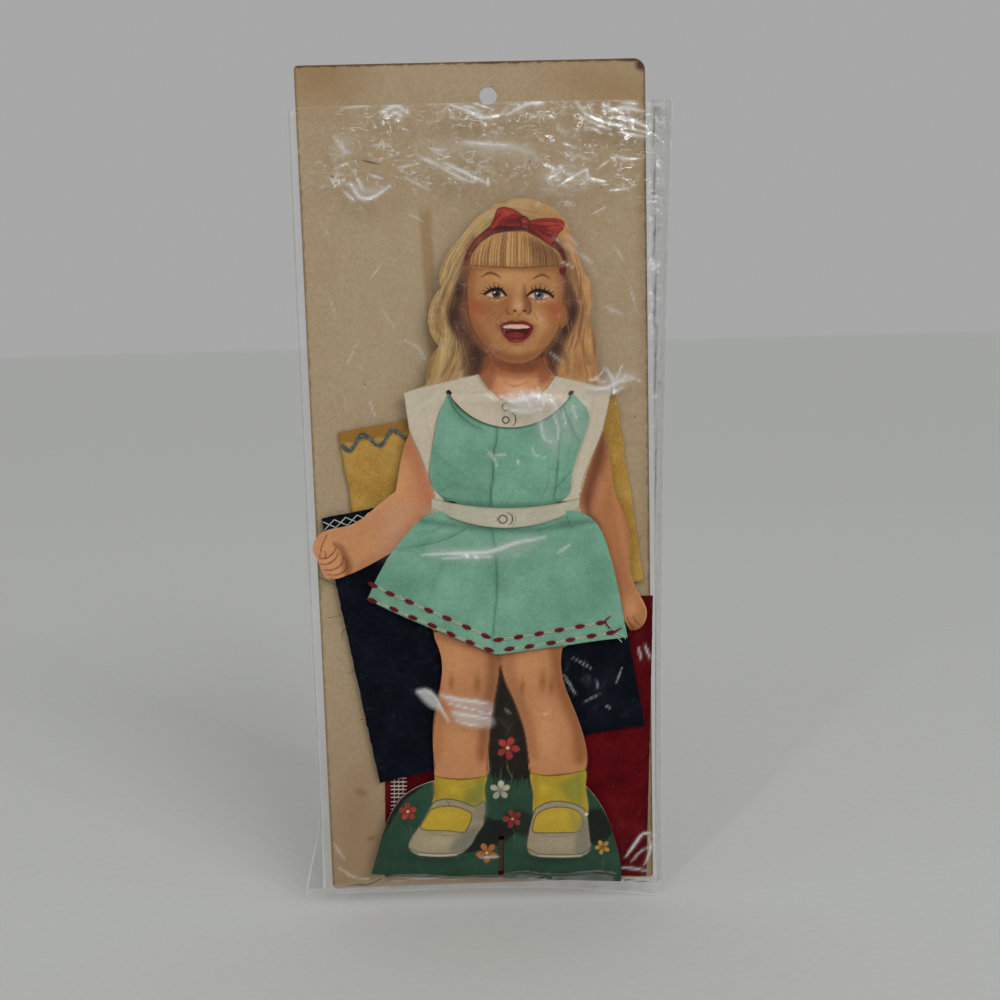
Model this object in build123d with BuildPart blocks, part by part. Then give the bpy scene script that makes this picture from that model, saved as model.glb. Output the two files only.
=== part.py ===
"""Carded paper doll set: a die-cut board doll dressed in a cloth dress that tucks behind its
collar flap and belt strap, with three spare stitched cloths, in an open clear pouch on a
backing card with a hang hole.

Frame: origin at the middle of the hang hole, +Z up the card, the front faces -Y, +X to the
right as seen from the front. Depths are counted forwards from the middle of the card, so a
depth d lies at y = -d. All sizes are in millimetres.
"""

from build123d import *
from math import atan2, cos, degrees, hypot, radians, sin
import os

# ---- driving dimensions -------------------------------------------------------------------
# backing card
CARD_WIDTH = 127.0
CARD_HEIGHT = 313.0
CARD_THICKNESS = 1.2
HOLE_RADIUS = 3.2
HOLE_FROM_LEFT = 69.8
HOLE_FROM_TOP = 11.9
SOFT_CORNER = 1.6
WORN_CORNER = 4.4

# sheets and yarns
BOARD_THICKNESS = 0.9
CLOTH_THICKNESS = 0.35
FILM_THICKNESS = 0.15
LADDER_YARN = 0.4
CHENILLE_YARN = 0.7
CROSS_YARN = 0.35
HEM_YARN = 0.5
HEM_THREAD = 0.4
LAYER_GAP = 0.15

# doll, in its own upright frame: origin at the middle of the foot of the base
DOLL_X = -3.3
DOLL_Z = -297.4
DOLL_LEAN = 1.9
KERF = 0.3
HINGE_GAP = 0.02
HOOK_RADIUS = 0.9
LIFT = 1.4
FLAP_BEND = 3.6
FLAP_DROP = 12.8
STRAP_RAMP = 3.4
STRAP_ROOT = 1.6
STRAP_ROOT_HEIGHT = 3.4
STRAP_DIP_TOP = 2.8
STRAP_DIP_FOOT = 5.8
CLEARANCE = 0.3
SLOT_WIDTH = 2.4
SLOT_HEIGHT = 15.5
FOLD_RISE = 0.9
FOLD_START = 0.05
WAIST_DIP = 2.6
WAIST_OVERLAP = 1.8

# hem stitching of the dress
STITCH_LENGTH = 4.6
STITCH_WIDTH = 1.9
STITCH_SHOULDER = 1.5
STITCH_PITCH = 7.7
THREAD_WIDTH = 0.6
STITCH_SEAT = 0.02

# spare cloths
YELLOW_WIDTH = 105.0
YELLOW_HEIGHT = 75.5
YELLOW_LEAN = -7.8
YELLOW_CORNER = (-59.6, -120.5)
NAVY_WIDTH = 105.5
NAVY_HEIGHT = 104.5
NAVY_LEAN = -9.6
NAVY_CORNER = (-67.1, -152.8)
RED_WIDTH = 103.3
RED_HEIGHT = 113.5
RED_LEAN = 1.9
RED_CORNER = (-45.0, -183.5)
CUT_CORNER = 0.8
ROUND_CORNER = 2.5

# trims on the spare cloths
CHENILLE_WIDTH = 1.5
CHENILLE_STEP = 5.7
CHENILLE_RISE = 4.6
CHENILLE_DROP = 5.0
CHENILLE_LEAD = 3.3
CROSS_WIDTH = 0.45
CROSS_STEP = 4.4
CROSS_RISE = 3.1
CROSS_DROP = 2.9
RUNG_LENGTH = 6.4
RUNG_WIDTH = 0.55
RUNG_PITCH = 1.6
RUNG_INSET = 2.1
RAIL_WIDTH = 0.5

# stand piece
STAND_WIDTH = 66.0
STAND_TOP_WIDTH = 44.0
STAND_HEIGHT = 27.0
STAND_RAISE = 3.0
STAND_ROUND = 3.0

# pouch
MOUTH_DROP = 5.5
MOUTH_DEPTH = 9.0
POUCH_DEPTH = 11.4
POUCH_SIDE_DEPTH = 6.0
POUCH_FULL_BELOW = 45.0
FLOOR_GAP = 0.4
FLOOR_DEPTH = 6.5
FLOOR_RISE = 13.0
LEFT_GAP_TOP = 2.1
LEFT_GAP_FOOT = 3.1
RIGHT_GAP_TOP = 9.0
RIGHT_GAP_MIDDLE = 4.2
RIGHT_GAP_FOOT = 2.6
FIN_WIDTH = 1.1
EAR_WIDTH = 7.6
EAR_HEIGHT = 26.0
SEAM_HEIGHT = 2.2
SEAM_DIP = 6.0

# ---- worked out from them -----------------------------------------------------------------
card_left = -HOLE_FROM_LEFT
card_right = card_left + CARD_WIDTH
card_top = HOLE_FROM_TOP
card_foot = card_top - CARD_HEIGHT
card_front = CARD_THICKNESS / 2

red_back = card_front + LAYER_GAP
red_front = red_back + CLOTH_THICKNESS
yellow_back = red_front + LADDER_YARN + LAYER_GAP
yellow_front = yellow_back + CLOTH_THICKNESS
navy_back = yellow_front + CHENILLE_YARN + LAYER_GAP
navy_front = navy_back + CLOTH_THICKNESS
stand_back = navy_front + CROSS_YARN + LAYER_GAP
doll_back = stand_back + BOARD_THICKNESS + LAYER_GAP
doll_front = doll_back + BOARD_THICKNESS
dress_front = doll_front + CLOTH_THICKNESS
lifted_back = doll_back + LIFT
stitch_back = dress_front + FOLD_RISE + STITCH_SEAT

film_back = -card_front - LAYER_GAP - FILM_THICKNESS
pouch_back = film_back + FILM_THICKNESS
pouch_mouth = -MOUTH_DROP
pouch_floor = card_foot - FLOOR_GAP
pouch_middle_z = (pouch_mouth + pouch_floor) / 2
left_top = card_left - LEFT_GAP_TOP
left_foot = card_left - LEFT_GAP_FOOT
right_top = card_right + RIGHT_GAP_TOP
right_middle = card_right + RIGHT_GAP_MIDDLE
right_foot = card_right + RIGHT_GAP_FOOT


def lean_plane(corner_x, corner_z, lean, depth):
    """Sketch plane that faces the front, leaning clockwise by lean degrees about its origin."""
    turn = radians(lean)
    return Plane(origin=(corner_x, -depth, corner_z), x_dir=(cos(turn), 0, -sin(turn)), z_dir=(0, -1, 0))


def doll_plane(depth):
    return lean_plane(DOLL_X, DOLL_Z, DOLL_LEAN, depth)


def doll_level(height):
    """Plane square to the doll's own upright at a height; its local y points to the back."""
    turn = radians(DOLL_LEAN)
    place = (DOLL_X + height * sin(turn), 0, DOLL_Z + height * cos(turn))
    return Plane(origin=place, x_dir=(cos(turn), 0, -sin(turn)), z_dir=(sin(turn), 0, cos(turn)))


def doll_side():
    """Plane through the doll's upright seen from its side: local x up, local y forwards."""
    turn = radians(DOLL_LEAN)
    place = (DOLL_X, 0, DOLL_Z)
    return Plane(origin=place, x_dir=(sin(turn), 0, cos(turn)), z_dir=(cos(turn), 0, -sin(turn)))


def bar_between(start, end, width):
    """Bar in the open sketch from one point to another, half a width past each."""
    length = hypot(end[0] - start[0], end[1] - start[1]) + width
    with Locations(((start[0] + end[0]) / 2, (start[1] + end[1]) / 2)):
        Rectangle(length, width, rotation=degrees(atan2(end[1] - start[1], end[0] - start[0])))


def along(start, end, share):
    return (start[0] + (end[0] - start[0]) * share, start[1] + (end[1] - start[1]) * share)


os.makedirs("parts", exist_ok=True)

# ---- backing card ---------------------------------------------------------------------------
with BuildPart() as backing_card:
    with BuildSketch(Plane.XZ.offset(-card_front)):
        with Locations((card_left, card_foot)):
            Rectangle(CARD_WIDTH, CARD_HEIGHT, align=(Align.MIN, Align.MIN))
        Circle(HOLE_RADIUS, mode=Mode.SUBTRACT)
    extrude(amount=CARD_THICKNESS)
    upright = backing_card.edges().filter_by(Axis.Y).filter_by(GeomType.LINE)
    worn = upright.group_by(Axis.Z)[-1].sort_by(Axis.X)[-1]
    fillet(worn, WORN_CORNER)
    upright = backing_card.edges().filter_by(Axis.Y).filter_by(GeomType.LINE)
    soft = [edge for edge in upright if abs(edge.center().X) > abs(card_left) / 2]
    sharp = [edge for edge in soft if not (edge.center().Z > 0 and edge.center().X > 0)]
    fillet(sharp, SOFT_CORNER)
backing_card.part.label = "backing_card"
export_step(backing_card.part, "parts/backing_card.step")

# ---- doll board -----------------------------------------------------------------------------
# Landmarks of the die-cut outline, up from the foot of the base.
shoulder_left = (-37.3, 189.6)
hair_meets_left = (-28.8, 193.0)
hair_cusp_left = (-24.3, 207.1)
hair_wave_left = (-23.6, 228.4)
hair_wave_right = (30.9, 231.6)
hair_cusp_right = (31.1, 215.9)
hair_meets_right = (38.2, 194.6)
shoulder_right = (39.8, 191.2)
sleeve_end_left = (-35.2, 174.8)
sleeve_end_right = (36.9, 176.8)
elbow_crease = (-40.5, 153.0)
forearm_end = (-40.0, 131.0)
knee_hem_left = (-25.7, 96.0)
knee_hem_right = (22.9, 93.1)
base_top_left = (-25.9, 40.2)
base_top_right = (32.5, 38.0)
base_foot_left = (-50.9, 2.2)
base_foot_right = (47.1, -1.2)
hand_tip = (48.7, 99.8)


def doll_outline():
    """The die-cut edge, clockwise from the left shoulder, in the open line."""
    Line(shoulder_left, hair_meets_left)
    Spline(hair_meets_left, (-28.2, 200.9), hair_cusp_left)
    Spline(hair_cusp_left, (-28.2, 215.5), (-27.6, 221.4), hair_wave_left)
    Spline(hair_wave_left, (-23.2, 237.0), (-16.6, 246.4), (-11.5, 252.6), (-4.3, 258.2), (5.0, 260.6),
           (12.5, 259.5), (20.2, 254.5), (26.7, 240.2), hair_wave_right)
    Spline(hair_wave_right, (31.8, 223.2), hair_cusp_right)
    Spline(hair_cusp_right, (33.6, 206.5), (34.0, 200.5), hair_meets_right)
    Line(hair_meets_right, shoulder_right)
    Line(shoulder_right, sleeve_end_right)
    Spline(sleeve_end_right, (39.5, 166.2), (42.3, 151.8), (45.8, 143.9), (47.8, 135.5), (48.5, 121.3),
           (51.6, 114.4), (54.9, 107.0), (53.9, 102.6), hand_tip)
    Line(hand_tip, (44.0, 108.0))
    Spline((44.0, 108.0), (38.5, 112.0), (30.0, 101.5), knee_hem_right)
    Spline(knee_hem_right, (23.6, 79.4), (28.6, 66.5), (32.3, 55.0), base_top_right)
    Spline(base_top_right, (37.5, 32.0), (42.0, 23.5), (44.9, 14.5), (47.2, 3.7), base_foot_right)
    Line(base_foot_right, base_foot_left)
    Spline(base_foot_left, (-48.1, 11.9), (-44.8, 22.7), (-37.6, 34.3), (-30.5, 38.6), base_top_left)
    Spline(base_top_left, (-26.7, 56.6), (-26.2, 66.6), (-23.9, 77.5), knee_hem_left)
    Spline(knee_hem_left, (-30.0, 108.0), (-36.0, 119.0), forearm_end)
    Spline(forearm_end, (-46.0, 127.6), (-58.4, 121.3), (-66.9, 120.1), (-69.6, 126.0), (-71.7, 131.5),
           (-68.6, 137.0), (-58.6, 139.9), (-46.6, 148.3), elbow_crease)
    Spline(elbow_crease, (-39.3, 160.0), (-37.2, 170.0), sleeve_end_left)
    Line(sleeve_end_left, shoulder_left)


# The collar flap is cut free along a curved slit and hinges on the line between two hooks.
hook_left = (-20.7, 190.2)
hook_right = (24.8, 190.2)
hinge_height = hook_left[1]
hinge_middle = (hook_left[0] + hook_right[0]) / 2
slit_bottom = hinge_height - FLAP_DROP


def flap_outline(grow, top):
    """Collar flap between a top line and the curved slit, in the open line, grown by a kerf."""
    left = (hook_left[0] - grow, hinge_height)
    right = (hook_right[0] + grow, hinge_height)
    Polyline(left, (left[0], top), (right[0], top), right)
    ThreePointArc(right, (hinge_middle, slit_bottom - grow), left)


# The belt strap is cut free along two slits and stays joined at both ends.
strap_left = -23.9
strap_right = 24.9
strap_centre = (strap_left + strap_right) / 2
strap_top = 149.8
strap_foot = 145.4
strap_middle = (strap_top + strap_foot) / 2


def strap_outline(grow):
    """Belt strap between its two slits, in the open line, grown by a kerf."""
    top_left = (strap_left, strap_top + grow)
    top_right = (strap_right, strap_top + grow)
    foot_right = (strap_right, strap_foot - grow)
    foot_left = (strap_left, strap_foot - grow)
    ThreePointArc(top_left, (strap_centre, strap_top - STRAP_DIP_TOP + grow), top_right)
    Line(top_right, foot_right)
    ThreePointArc(foot_right, (strap_centre, strap_foot - STRAP_DIP_FOOT - grow), foot_left)
    Line(foot_left, top_left)


with BuildPart() as strap_form:
    with BuildSketch(doll_plane(doll_back - BOARD_THICKNESS)):
        with BuildLine():
            strap_outline(0.0)
        make_face()
        for side_x, outwards in ((strap_left, -1), (strap_right, 1)):
            with Locations((side_x + outwards * STRAP_ROOT / 2, strap_middle)):
                Rectangle(STRAP_ROOT, STRAP_ROOT_HEIGHT)
    extrude(amount=BOARD_THICKNESS * 3 + LIFT)
    with BuildSketch(doll_level(0)):
        with BuildLine():
            ramp_left = strap_left + STRAP_ROOT / 2
            ramp_right = strap_right - STRAP_ROOT / 2
            outer_left = strap_left - STRAP_ROOT
            outer_right = strap_right + STRAP_ROOT
            Polyline(
                (outer_left, -doll_back), (ramp_left, -doll_back),
                (ramp_left + STRAP_RAMP, -lifted_back), (ramp_right - STRAP_RAMP, -lifted_back),
                (ramp_right, -doll_back), (outer_right, -doll_back),
                (outer_right, -doll_front), (ramp_right, -doll_front),
                (ramp_right - STRAP_RAMP, -doll_front - LIFT), (ramp_left + STRAP_RAMP, -doll_front - LIFT),
                (ramp_left, -doll_front), (outer_left, -doll_front), close=True)
        make_face()
    extrude(amount=hinge_height, mode=Mode.INTERSECT)

with BuildPart() as doll_figure:
    with BuildSketch(doll_plane(doll_back)):
        with BuildLine():
            doll_outline()
        make_face()
        with Locations((0, SLOT_HEIGHT / 2)):
            Rectangle(SLOT_WIDTH, SLOT_HEIGHT + 2 * abs(base_foot_left[1]), mode=Mode.SUBTRACT)
        with BuildLine():
            strap_outline(KERF)
        make_face(mode=Mode.SUBTRACT)
    extrude(amount=BOARD_THICKNESS)
    with BuildSketch(doll_plane(doll_back)):
        with BuildLine():
            flap_outline(KERF, hinge_height + HINGE_GAP)
        make_face()
        with Locations(hook_left, hook_right):
            Circle(HOOK_RADIUS)
    extrude(amount=BOARD_THICKNESS, mode=Mode.SUBTRACT)
    add(strap_form.part)
doll_figure.part.label = "doll_figure"
export_step(doll_figure.part, "parts/doll_figure.step")

# ---- collar flap: bent forwards just below its hinge line, so the cloth passes behind ---------
bend_foot = hinge_height - FLAP_BEND


def bend_step(depth):
    """Soft step forwards of one face of the flap, as two arcs, in the open line."""
    middle = (hinge_height - FLAP_BEND / 2, depth + LIFT / 2)
    TangentArc((hinge_height, depth), middle, tangent=(-1, 0))
    TangentArc((bend_foot, depth + LIFT), middle, tangent=(1, 0))


with BuildPart() as collar_flap:
    with BuildSketch(doll_plane(doll_back)):
        with BuildLine():
            Line(hook_left, hook_right)
            ThreePointArc(hook_right, (hinge_middle, slit_bottom), hook_left)
        make_face()
        with Locations(hook_left, hook_right):
            Circle(HOOK_RADIUS + KERF, mode=Mode.SUBTRACT)
    extrude(amount=BOARD_THICKNESS + LIFT)
    with BuildSketch(doll_side()):
        with BuildLine():
            Line((hinge_height, doll_back), (hinge_height, doll_front))
            bend_step(doll_front)
            Line((bend_foot, doll_front + LIFT), (slit_bottom - KERF, doll_front + LIFT))
            Line((slit_bottom - KERF, doll_front + LIFT), (slit_bottom - KERF, lifted_back))
            Line((slit_bottom - KERF, lifted_back), (bend_foot, lifted_back))
            bend_step(doll_back)
        make_face()
    extrude(amount=2 * hook_right[0], both=True, mode=Mode.INTERSECT)
collar_flap.part.label = "collar_flap"
export_step(collar_flap.part, "parts/collar_flap.step")

# ---- dress: one cloth, flat on the bodice and folded down the skirt ---------------------------
skirt_corner_left = (-51.6, 111.7)
skirt_centre_hem = (-2.9, 90.3)
skirt_corner_right = (47.6, 97.4)
waist_left = strap_left + STRAP_RAMP + STRAP_ROOT / 2 + CLEARANCE
waist_right = strap_right - STRAP_RAMP - STRAP_ROOT / 2 - CLEARANCE
fold_top = 145.4
waist_line = fold_top - WAIST_DIP
bodice_foot = waist_line - WAIST_OVERLAP
fold_top_left = -46.0
fold_top_right = 44.0
fold_foot = 88.0
fold_foot_left = -60.0
fold_foot_right = 56.0


def fold_section(left, middle, right, rise):
    """Two soft folds side by side, as a thin closed strip in a level plane."""
    crest_left = (left + middle) / 2
    crest_right = (middle + right) / 2
    ThreePointArc((left, -doll_front), (crest_left, -doll_front - rise), (middle, -doll_front))
    ThreePointArc((middle, -doll_front), (crest_right, -doll_front - rise), (right, -doll_front))
    Line((right, -doll_front), (right, -dress_front))
    ThreePointArc((right, -dress_front), (crest_right, -dress_front - rise), (middle, -dress_front))
    ThreePointArc((middle, -dress_front), (crest_left, -dress_front - rise), (left, -dress_front))
    Line((left, -dress_front), (left, -doll_front))


with BuildPart() as skirt_fold:
    with BuildSketch(doll_level(fold_top)):
        with BuildLine():
            fold_section(fold_top_left, skirt_centre_hem[0], fold_top_right, FOLD_START)
        make_face()
    with BuildSketch(doll_level(fold_foot)):
        with BuildLine():
            fold_section(fold_foot_left, skirt_centre_hem[0], fold_foot_right, FOLD_RISE)
        make_face()
    loft(ruled=True)
    with BuildSketch(doll_plane(doll_front)):
        with BuildLine():
            Spline((-26.4, fold_top), (-31.5, 142.5), (-40.9, 131.8), skirt_corner_left)
            Line(skirt_corner_left, skirt_centre_hem)
            Line(skirt_centre_hem, skirt_corner_right)
            Spline(skirt_corner_right, (44.6, 112.0), (41.2, 126.0), (36.5, 139.2), (29.6, fold_top))
            Polyline((29.6, fold_top), (waist_right, waist_line), (waist_left, waist_line), (-26.4, fold_top))
        make_face()
    extrude(amount=CLOTH_THICKNESS + 2 * FOLD_RISE, mode=Mode.INTERSECT)

with BuildPart() as teal_dress_cloth:
    with BuildSketch(doll_plane(doll_front)):
        with BuildLine():
            Spline((waist_left, 149.3), (-25.2, 153.2), (-28.0, 157.5), (-26.7, 169.0), (-25.1, 180.2),
                   (-21.2, 188.2))
            Line((-21.2, 188.2), (-17.3, 185.2))
            Spline((-17.3, 185.2), (-10.0, 184.4), (0.0, 184.0), (12.0, 184.4), (20.6, 185.4))
            Line((20.6, 185.4), (25.4, 189.2))
            Spline((25.4, 189.2), (30.5, 184.9), (31.3, 179.5), (27.7, 168.4), (25.3, 160.0),
                   (waist_right, 149.3))
            Polyline((waist_right, 149.3), (waist_right, bodice_foot), (waist_left, bodice_foot),
                     (waist_left, 149.3))
        make_face()
    extrude(amount=CLOTH_THICKNESS)
    add(skirt_fold.part)
teal_dress_cloth.part.label = "teal_dress_cloth"
export_step(teal_dress_cloth.part, "parts/teal_dress_cloth.step")

# ---- hem stitching: two rows of red running stitches tied with a cream thread -----------------
hem_rows = (
    ((-49.1, 118.1), (-7.7, 98.8)),
    ((-49.6, 112.1), (-6.5, 93.3)),
    ((-1.7, 97.1), (36.2, 104.0)),
    ((1.6, 93.0), (40.5, 99.8)),
)

with BuildPart() as hem_stitches_red:
    with BuildSketch(doll_plane(stitch_back)):
        for start, end in hem_rows:
            slope = degrees(atan2(end[1] - start[1], end[0] - start[0]))
            gaps = round(hypot(end[0] - start[0], end[1] - start[1]) / STITCH_PITCH)
            for number in range(gaps + 1):
                with Locations(along(start, end, number / gaps)):
                    Polygon((-STITCH_LENGTH / 2, 0), (-STITCH_SHOULDER, STITCH_WIDTH / 2),
                            (STITCH_SHOULDER, STITCH_WIDTH / 2), (STITCH_LENGTH / 2, 0),
                            (STITCH_SHOULDER, -STITCH_WIDTH / 2), (-STITCH_SHOULDER, -STITCH_WIDTH / 2),
                            rotation=slope)
    extrude(amount=HEM_YARN)
hem_stitches_red.part.label = "hem_stitches_red"
export_step(hem_stitches_red.part, "parts/hem_stitches_red.step")

with BuildPart() as hem_thread_cream:
    with BuildSketch(doll_plane(stitch_back)):
        for start, end in hem_rows:
            run = hypot(end[0] - start[0], end[1] - start[1])
            gaps = round(run / STITCH_PITCH)
            slope = degrees(atan2(end[1] - start[1], end[0] - start[0]))
            for number in range(gaps):
                with Locations(along(start, end, (number + 0.5) / gaps)):
                    Rectangle(run / gaps - STITCH_LENGTH, THREAD_WIDTH, rotation=slope)
    extrude(amount=HEM_THREAD)
hem_thread_cream.part.label = "hem_thread_cream"
export_step(hem_thread_cream.part, "parts/hem_thread_cream.step")


# ---- spare cloths: plain cut sheets, each hung from its top left corner -------------------------
with BuildPart() as yellow_cloth:
    with BuildSketch(lean_plane(*YELLOW_CORNER, YELLOW_LEAN, yellow_back)) as sheet:
        Rectangle(YELLOW_WIDTH, YELLOW_HEIGHT, align=(Align.MIN, Align.MAX))
        fillet(sheet.vertices(), CUT_CORNER)
    extrude(amount=CLOTH_THICKNESS)
yellow_cloth.part.label = "yellow_cloth"
export_step(yellow_cloth.part, "parts/yellow_cloth.step")

with BuildPart() as navy_cloth:
    with BuildSketch(lean_plane(*NAVY_CORNER, NAVY_LEAN, navy_back)) as sheet:
        Rectangle(NAVY_WIDTH, NAVY_HEIGHT, align=(Align.MIN, Align.MAX))
        fillet(sheet.vertices(), CUT_CORNER)
    extrude(amount=CLOTH_THICKNESS)
navy_cloth.part.label = "navy_cloth"
export_step(navy_cloth.part, "parts/navy_cloth.step")

with BuildPart() as red_cloth:
    with BuildSketch(lean_plane(*RED_CORNER, RED_LEAN, red_back)) as sheet:
        Rectangle(RED_WIDTH, RED_HEIGHT, align=(Align.MIN, Align.MAX))
        fillet(sheet.vertices(), ROUND_CORNER)
    extrude(amount=CLOTH_THICKNESS)
red_cloth.part.label = "red_cloth"
export_step(red_cloth.part, "parts/red_cloth.step")

# ---- trims: yarn couched in a zigzag, two crossing zigzags, and a ladder down one edge ----------
with BuildPart() as yellow_cloth_zigzag:
    with BuildSketch(lean_plane(*YELLOW_CORNER, YELLOW_LEAN, yellow_front)):
        low = -CHENILLE_DROP - CHENILLE_RISE / 2
        high = -CHENILLE_DROP + CHENILLE_RISE / 2
        bar_between((CHENILLE_WIDTH / 2, -CHENILLE_DROP), (CHENILLE_LEAD, low), CHENILLE_WIDTH)
        for step in range(int((YELLOW_WIDTH - CHENILLE_LEAD - CHENILLE_WIDTH / 2) / CHENILLE_STEP)):
            start = (CHENILLE_LEAD + step * CHENILLE_STEP, high if step % 2 else low)
            end = (CHENILLE_LEAD + (step + 1) * CHENILLE_STEP, low if step % 2 else high)
            bar_between(start, end, CHENILLE_WIDTH)
    extrude(amount=CHENILLE_YARN)
yellow_cloth_zigzag.part.label = "yellow_cloth_zigzag"
export_step(yellow_cloth_zigzag.part, "parts/yellow_cloth_zigzag.step")

with BuildPart() as navy_cloth_zigzag:
    with BuildSketch(lean_plane(*NAVY_CORNER, NAVY_LEAN, navy_front)):
        for step in range(int((NAVY_WIDTH - CROSS_WIDTH) / CROSS_STEP)):
            low = -CROSS_DROP - CROSS_RISE / 2
            high = -CROSS_DROP + CROSS_RISE / 2
            near = CROSS_WIDTH / 2 + step * CROSS_STEP
            far = near + CROSS_STEP
            bar_between((near, low), (far, high), CROSS_WIDTH)
            bar_between((near, high), (far, low), CROSS_WIDTH)
    extrude(amount=CROSS_YARN)
navy_cloth_zigzag.part.label = "navy_cloth_zigzag"
export_step(navy_cloth_zigzag.part, "parts/navy_cloth_zigzag.step")

with BuildPart() as red_cloth_ladder_stitch:
    with BuildSketch(lean_plane(*RED_CORNER, RED_LEAN, red_front)):
        rungs = int((RED_HEIGHT - 2 * ROUND_CORNER) / RUNG_PITCH)
        ladder_middle = RUNG_INSET + RUNG_LENGTH / 2
        with Locations((ladder_middle, -RED_HEIGHT / 2)):
            with GridLocations(0, RUNG_PITCH, 1, rungs):
                Rectangle(RUNG_LENGTH, RUNG_WIDTH)
        with Locations((ladder_middle, -RED_HEIGHT / 2)):
            Rectangle(RAIL_WIDTH, rungs * RUNG_PITCH)
    extrude(amount=LADDER_YARN)
red_cloth_ladder_stitch.part.label = "red_cloth_ladder_stitch"
export_step(red_cloth_ladder_stitch.part, "parts/red_cloth_ladder_stitch.step")

# ---- stand piece: slots crosswise into the base, packed flat behind it --------------------------
with BuildPart() as stand_cross_piece:
    with BuildSketch(doll_plane(stand_back)) as stand:
        foot = STAND_RAISE
        top = STAND_RAISE + STAND_HEIGHT
        with BuildLine():
            Polyline((-STAND_WIDTH / 2, foot), (STAND_WIDTH / 2, foot), (STAND_TOP_WIDTH / 2, top),
                     (-STAND_TOP_WIDTH / 2, top), close=True)
        make_face()
        fillet(stand.vertices(), STAND_ROUND)
        with Locations((0, top)):
            Rectangle(SLOT_WIDTH, 2 * (STAND_HEIGHT - SLOT_HEIGHT + STAND_RAISE), mode=Mode.SUBTRACT)
    extrude(amount=BOARD_THICKNESS)
stand_cross_piece.part.label = "stand_cross_piece"
export_step(stand_cross_piece.part, "parts/stand_cross_piece.step")


# ---- pouch: clear film welded down both sides and along the foot, open at the top ---------------
def pouch_front_view(grow, top):
    """Outline of the pouch's hollow seen from the front, in the open line, grown by a film."""
    corner_left = (left_foot - grow, pouch_floor - grow)
    corner_right = (right_foot + grow, pouch_floor - grow)
    mouth_left = (left_top - grow, top)
    mouth_right = (right_top + grow, top)
    Polyline(mouth_right, mouth_left, corner_left, corner_right)
    ThreePointArc(corner_right, (right_middle + grow, pouch_middle_z), mouth_right)


def pouch_block(grow, rise, behind):
    """Solid of the pouch's hollow, grown by a film, raised past the mouth and behind its back."""
    top = pouch_mouth + rise
    back = -pouch_back + behind
    with BuildPart() as block:
        with BuildSketch(Plane.XZ.offset(-back)):
            with BuildLine():
                pouch_front_view(grow, top)
            make_face()
        extrude(amount=2 * POUCH_DEPTH)
        with BuildSketch(Plane.YZ):
            with BuildLine():
                Polyline(
                    (back, top), (back, pouch_floor - grow), (-FLOOR_DEPTH - grow, pouch_floor - grow),
                    (-POUCH_DEPTH - grow, pouch_floor + FLOOR_RISE),
                    (-POUCH_DEPTH - grow, pouch_mouth - POUCH_FULL_BELOW),
                    (-MOUTH_DEPTH - grow, pouch_mouth), (-MOUTH_DEPTH - grow, top + grow), (back, top + grow),
                    close=True)
            make_face()
        extrude(amount=CARD_WIDTH, both=True, mode=Mode.INTERSECT)
        with BuildSketch(Plane.XY.offset(top)):
            left = left_foot - grow
            right = right_top + grow
            with BuildLine():
                ThreePointArc((left, -POUCH_SIDE_DEPTH - grow), ((left + right) / 2, -POUCH_DEPTH - grow),
                              (right, -POUCH_SIDE_DEPTH - grow))
                Polyline((right, -POUCH_SIDE_DEPTH - grow), (right, back), (left, back),
                         (left, -POUCH_SIDE_DEPTH - grow))
            make_face()
        extrude(amount=-2 * CARD_HEIGHT, mode=Mode.INTERSECT)
    return block.part


with BuildPart() as bag_front_film:
    add(pouch_block(FILM_THICKNESS, 0, 0))
    add(pouch_block(0, FILM_THICKNESS, FILM_THICKNESS), mode=Mode.SUBTRACT)
bag_front_film.part.label = "bag_front_film"
export_step(bag_front_film.part, "parts/bag_front_film.step")

with BuildPart() as bag_back_film:
    with BuildSketch(Plane.XZ.offset(film_back)):
        with BuildLine():
            pouch_front_view(FILM_THICKNESS, pouch_mouth)
        make_face()
    extrude(amount=FILM_THICKNESS)
bag_back_film.part.label = "bag_back_film"
export_step(bag_back_film.part, "parts/bag_back_film.step")

seam_top = pouch_floor - FILM_THICKNESS
with BuildPart() as bag_side_seams:
    with BuildSketch(Plane.XZ.offset(film_back)):
        with BuildLine():
            inner_top = (left_top - FILM_THICKNESS, pouch_mouth)
            inner_foot = (left_foot - FILM_THICKNESS, seam_top)
            waist = (left_foot - FILM_THICKNESS - FIN_WIDTH, seam_top + EAR_HEIGHT)
            Polyline(inner_top, (inner_top[0] - FIN_WIDTH, pouch_mouth), waist,
                     (inner_foot[0] - EAR_WIDTH, seam_top), inner_foot, close=True)
        make_face()
        with BuildLine():
            inner = FILM_THICKNESS
            outer = FILM_THICKNESS + FIN_WIDTH
            ThreePointArc((right_top + inner, pouch_mouth), (right_middle + inner, pouch_middle_z),
                          (right_foot + inner, seam_top))
            Line((right_foot + inner, seam_top), (right_foot + outer, seam_top))
            ThreePointArc((right_foot + outer, seam_top), (right_middle + outer, pouch_middle_z),
                          (right_top + outer, pouch_mouth))
            Line((right_top + outer, pouch_mouth), (right_top + inner, pouch_mouth))
        make_face()
    extrude(amount=2 * FILM_THICKNESS)
bag_side_seams.part.label = "bag_side_seams"
export_step(bag_side_seams.part, "parts/bag_side_seams.step")

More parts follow.
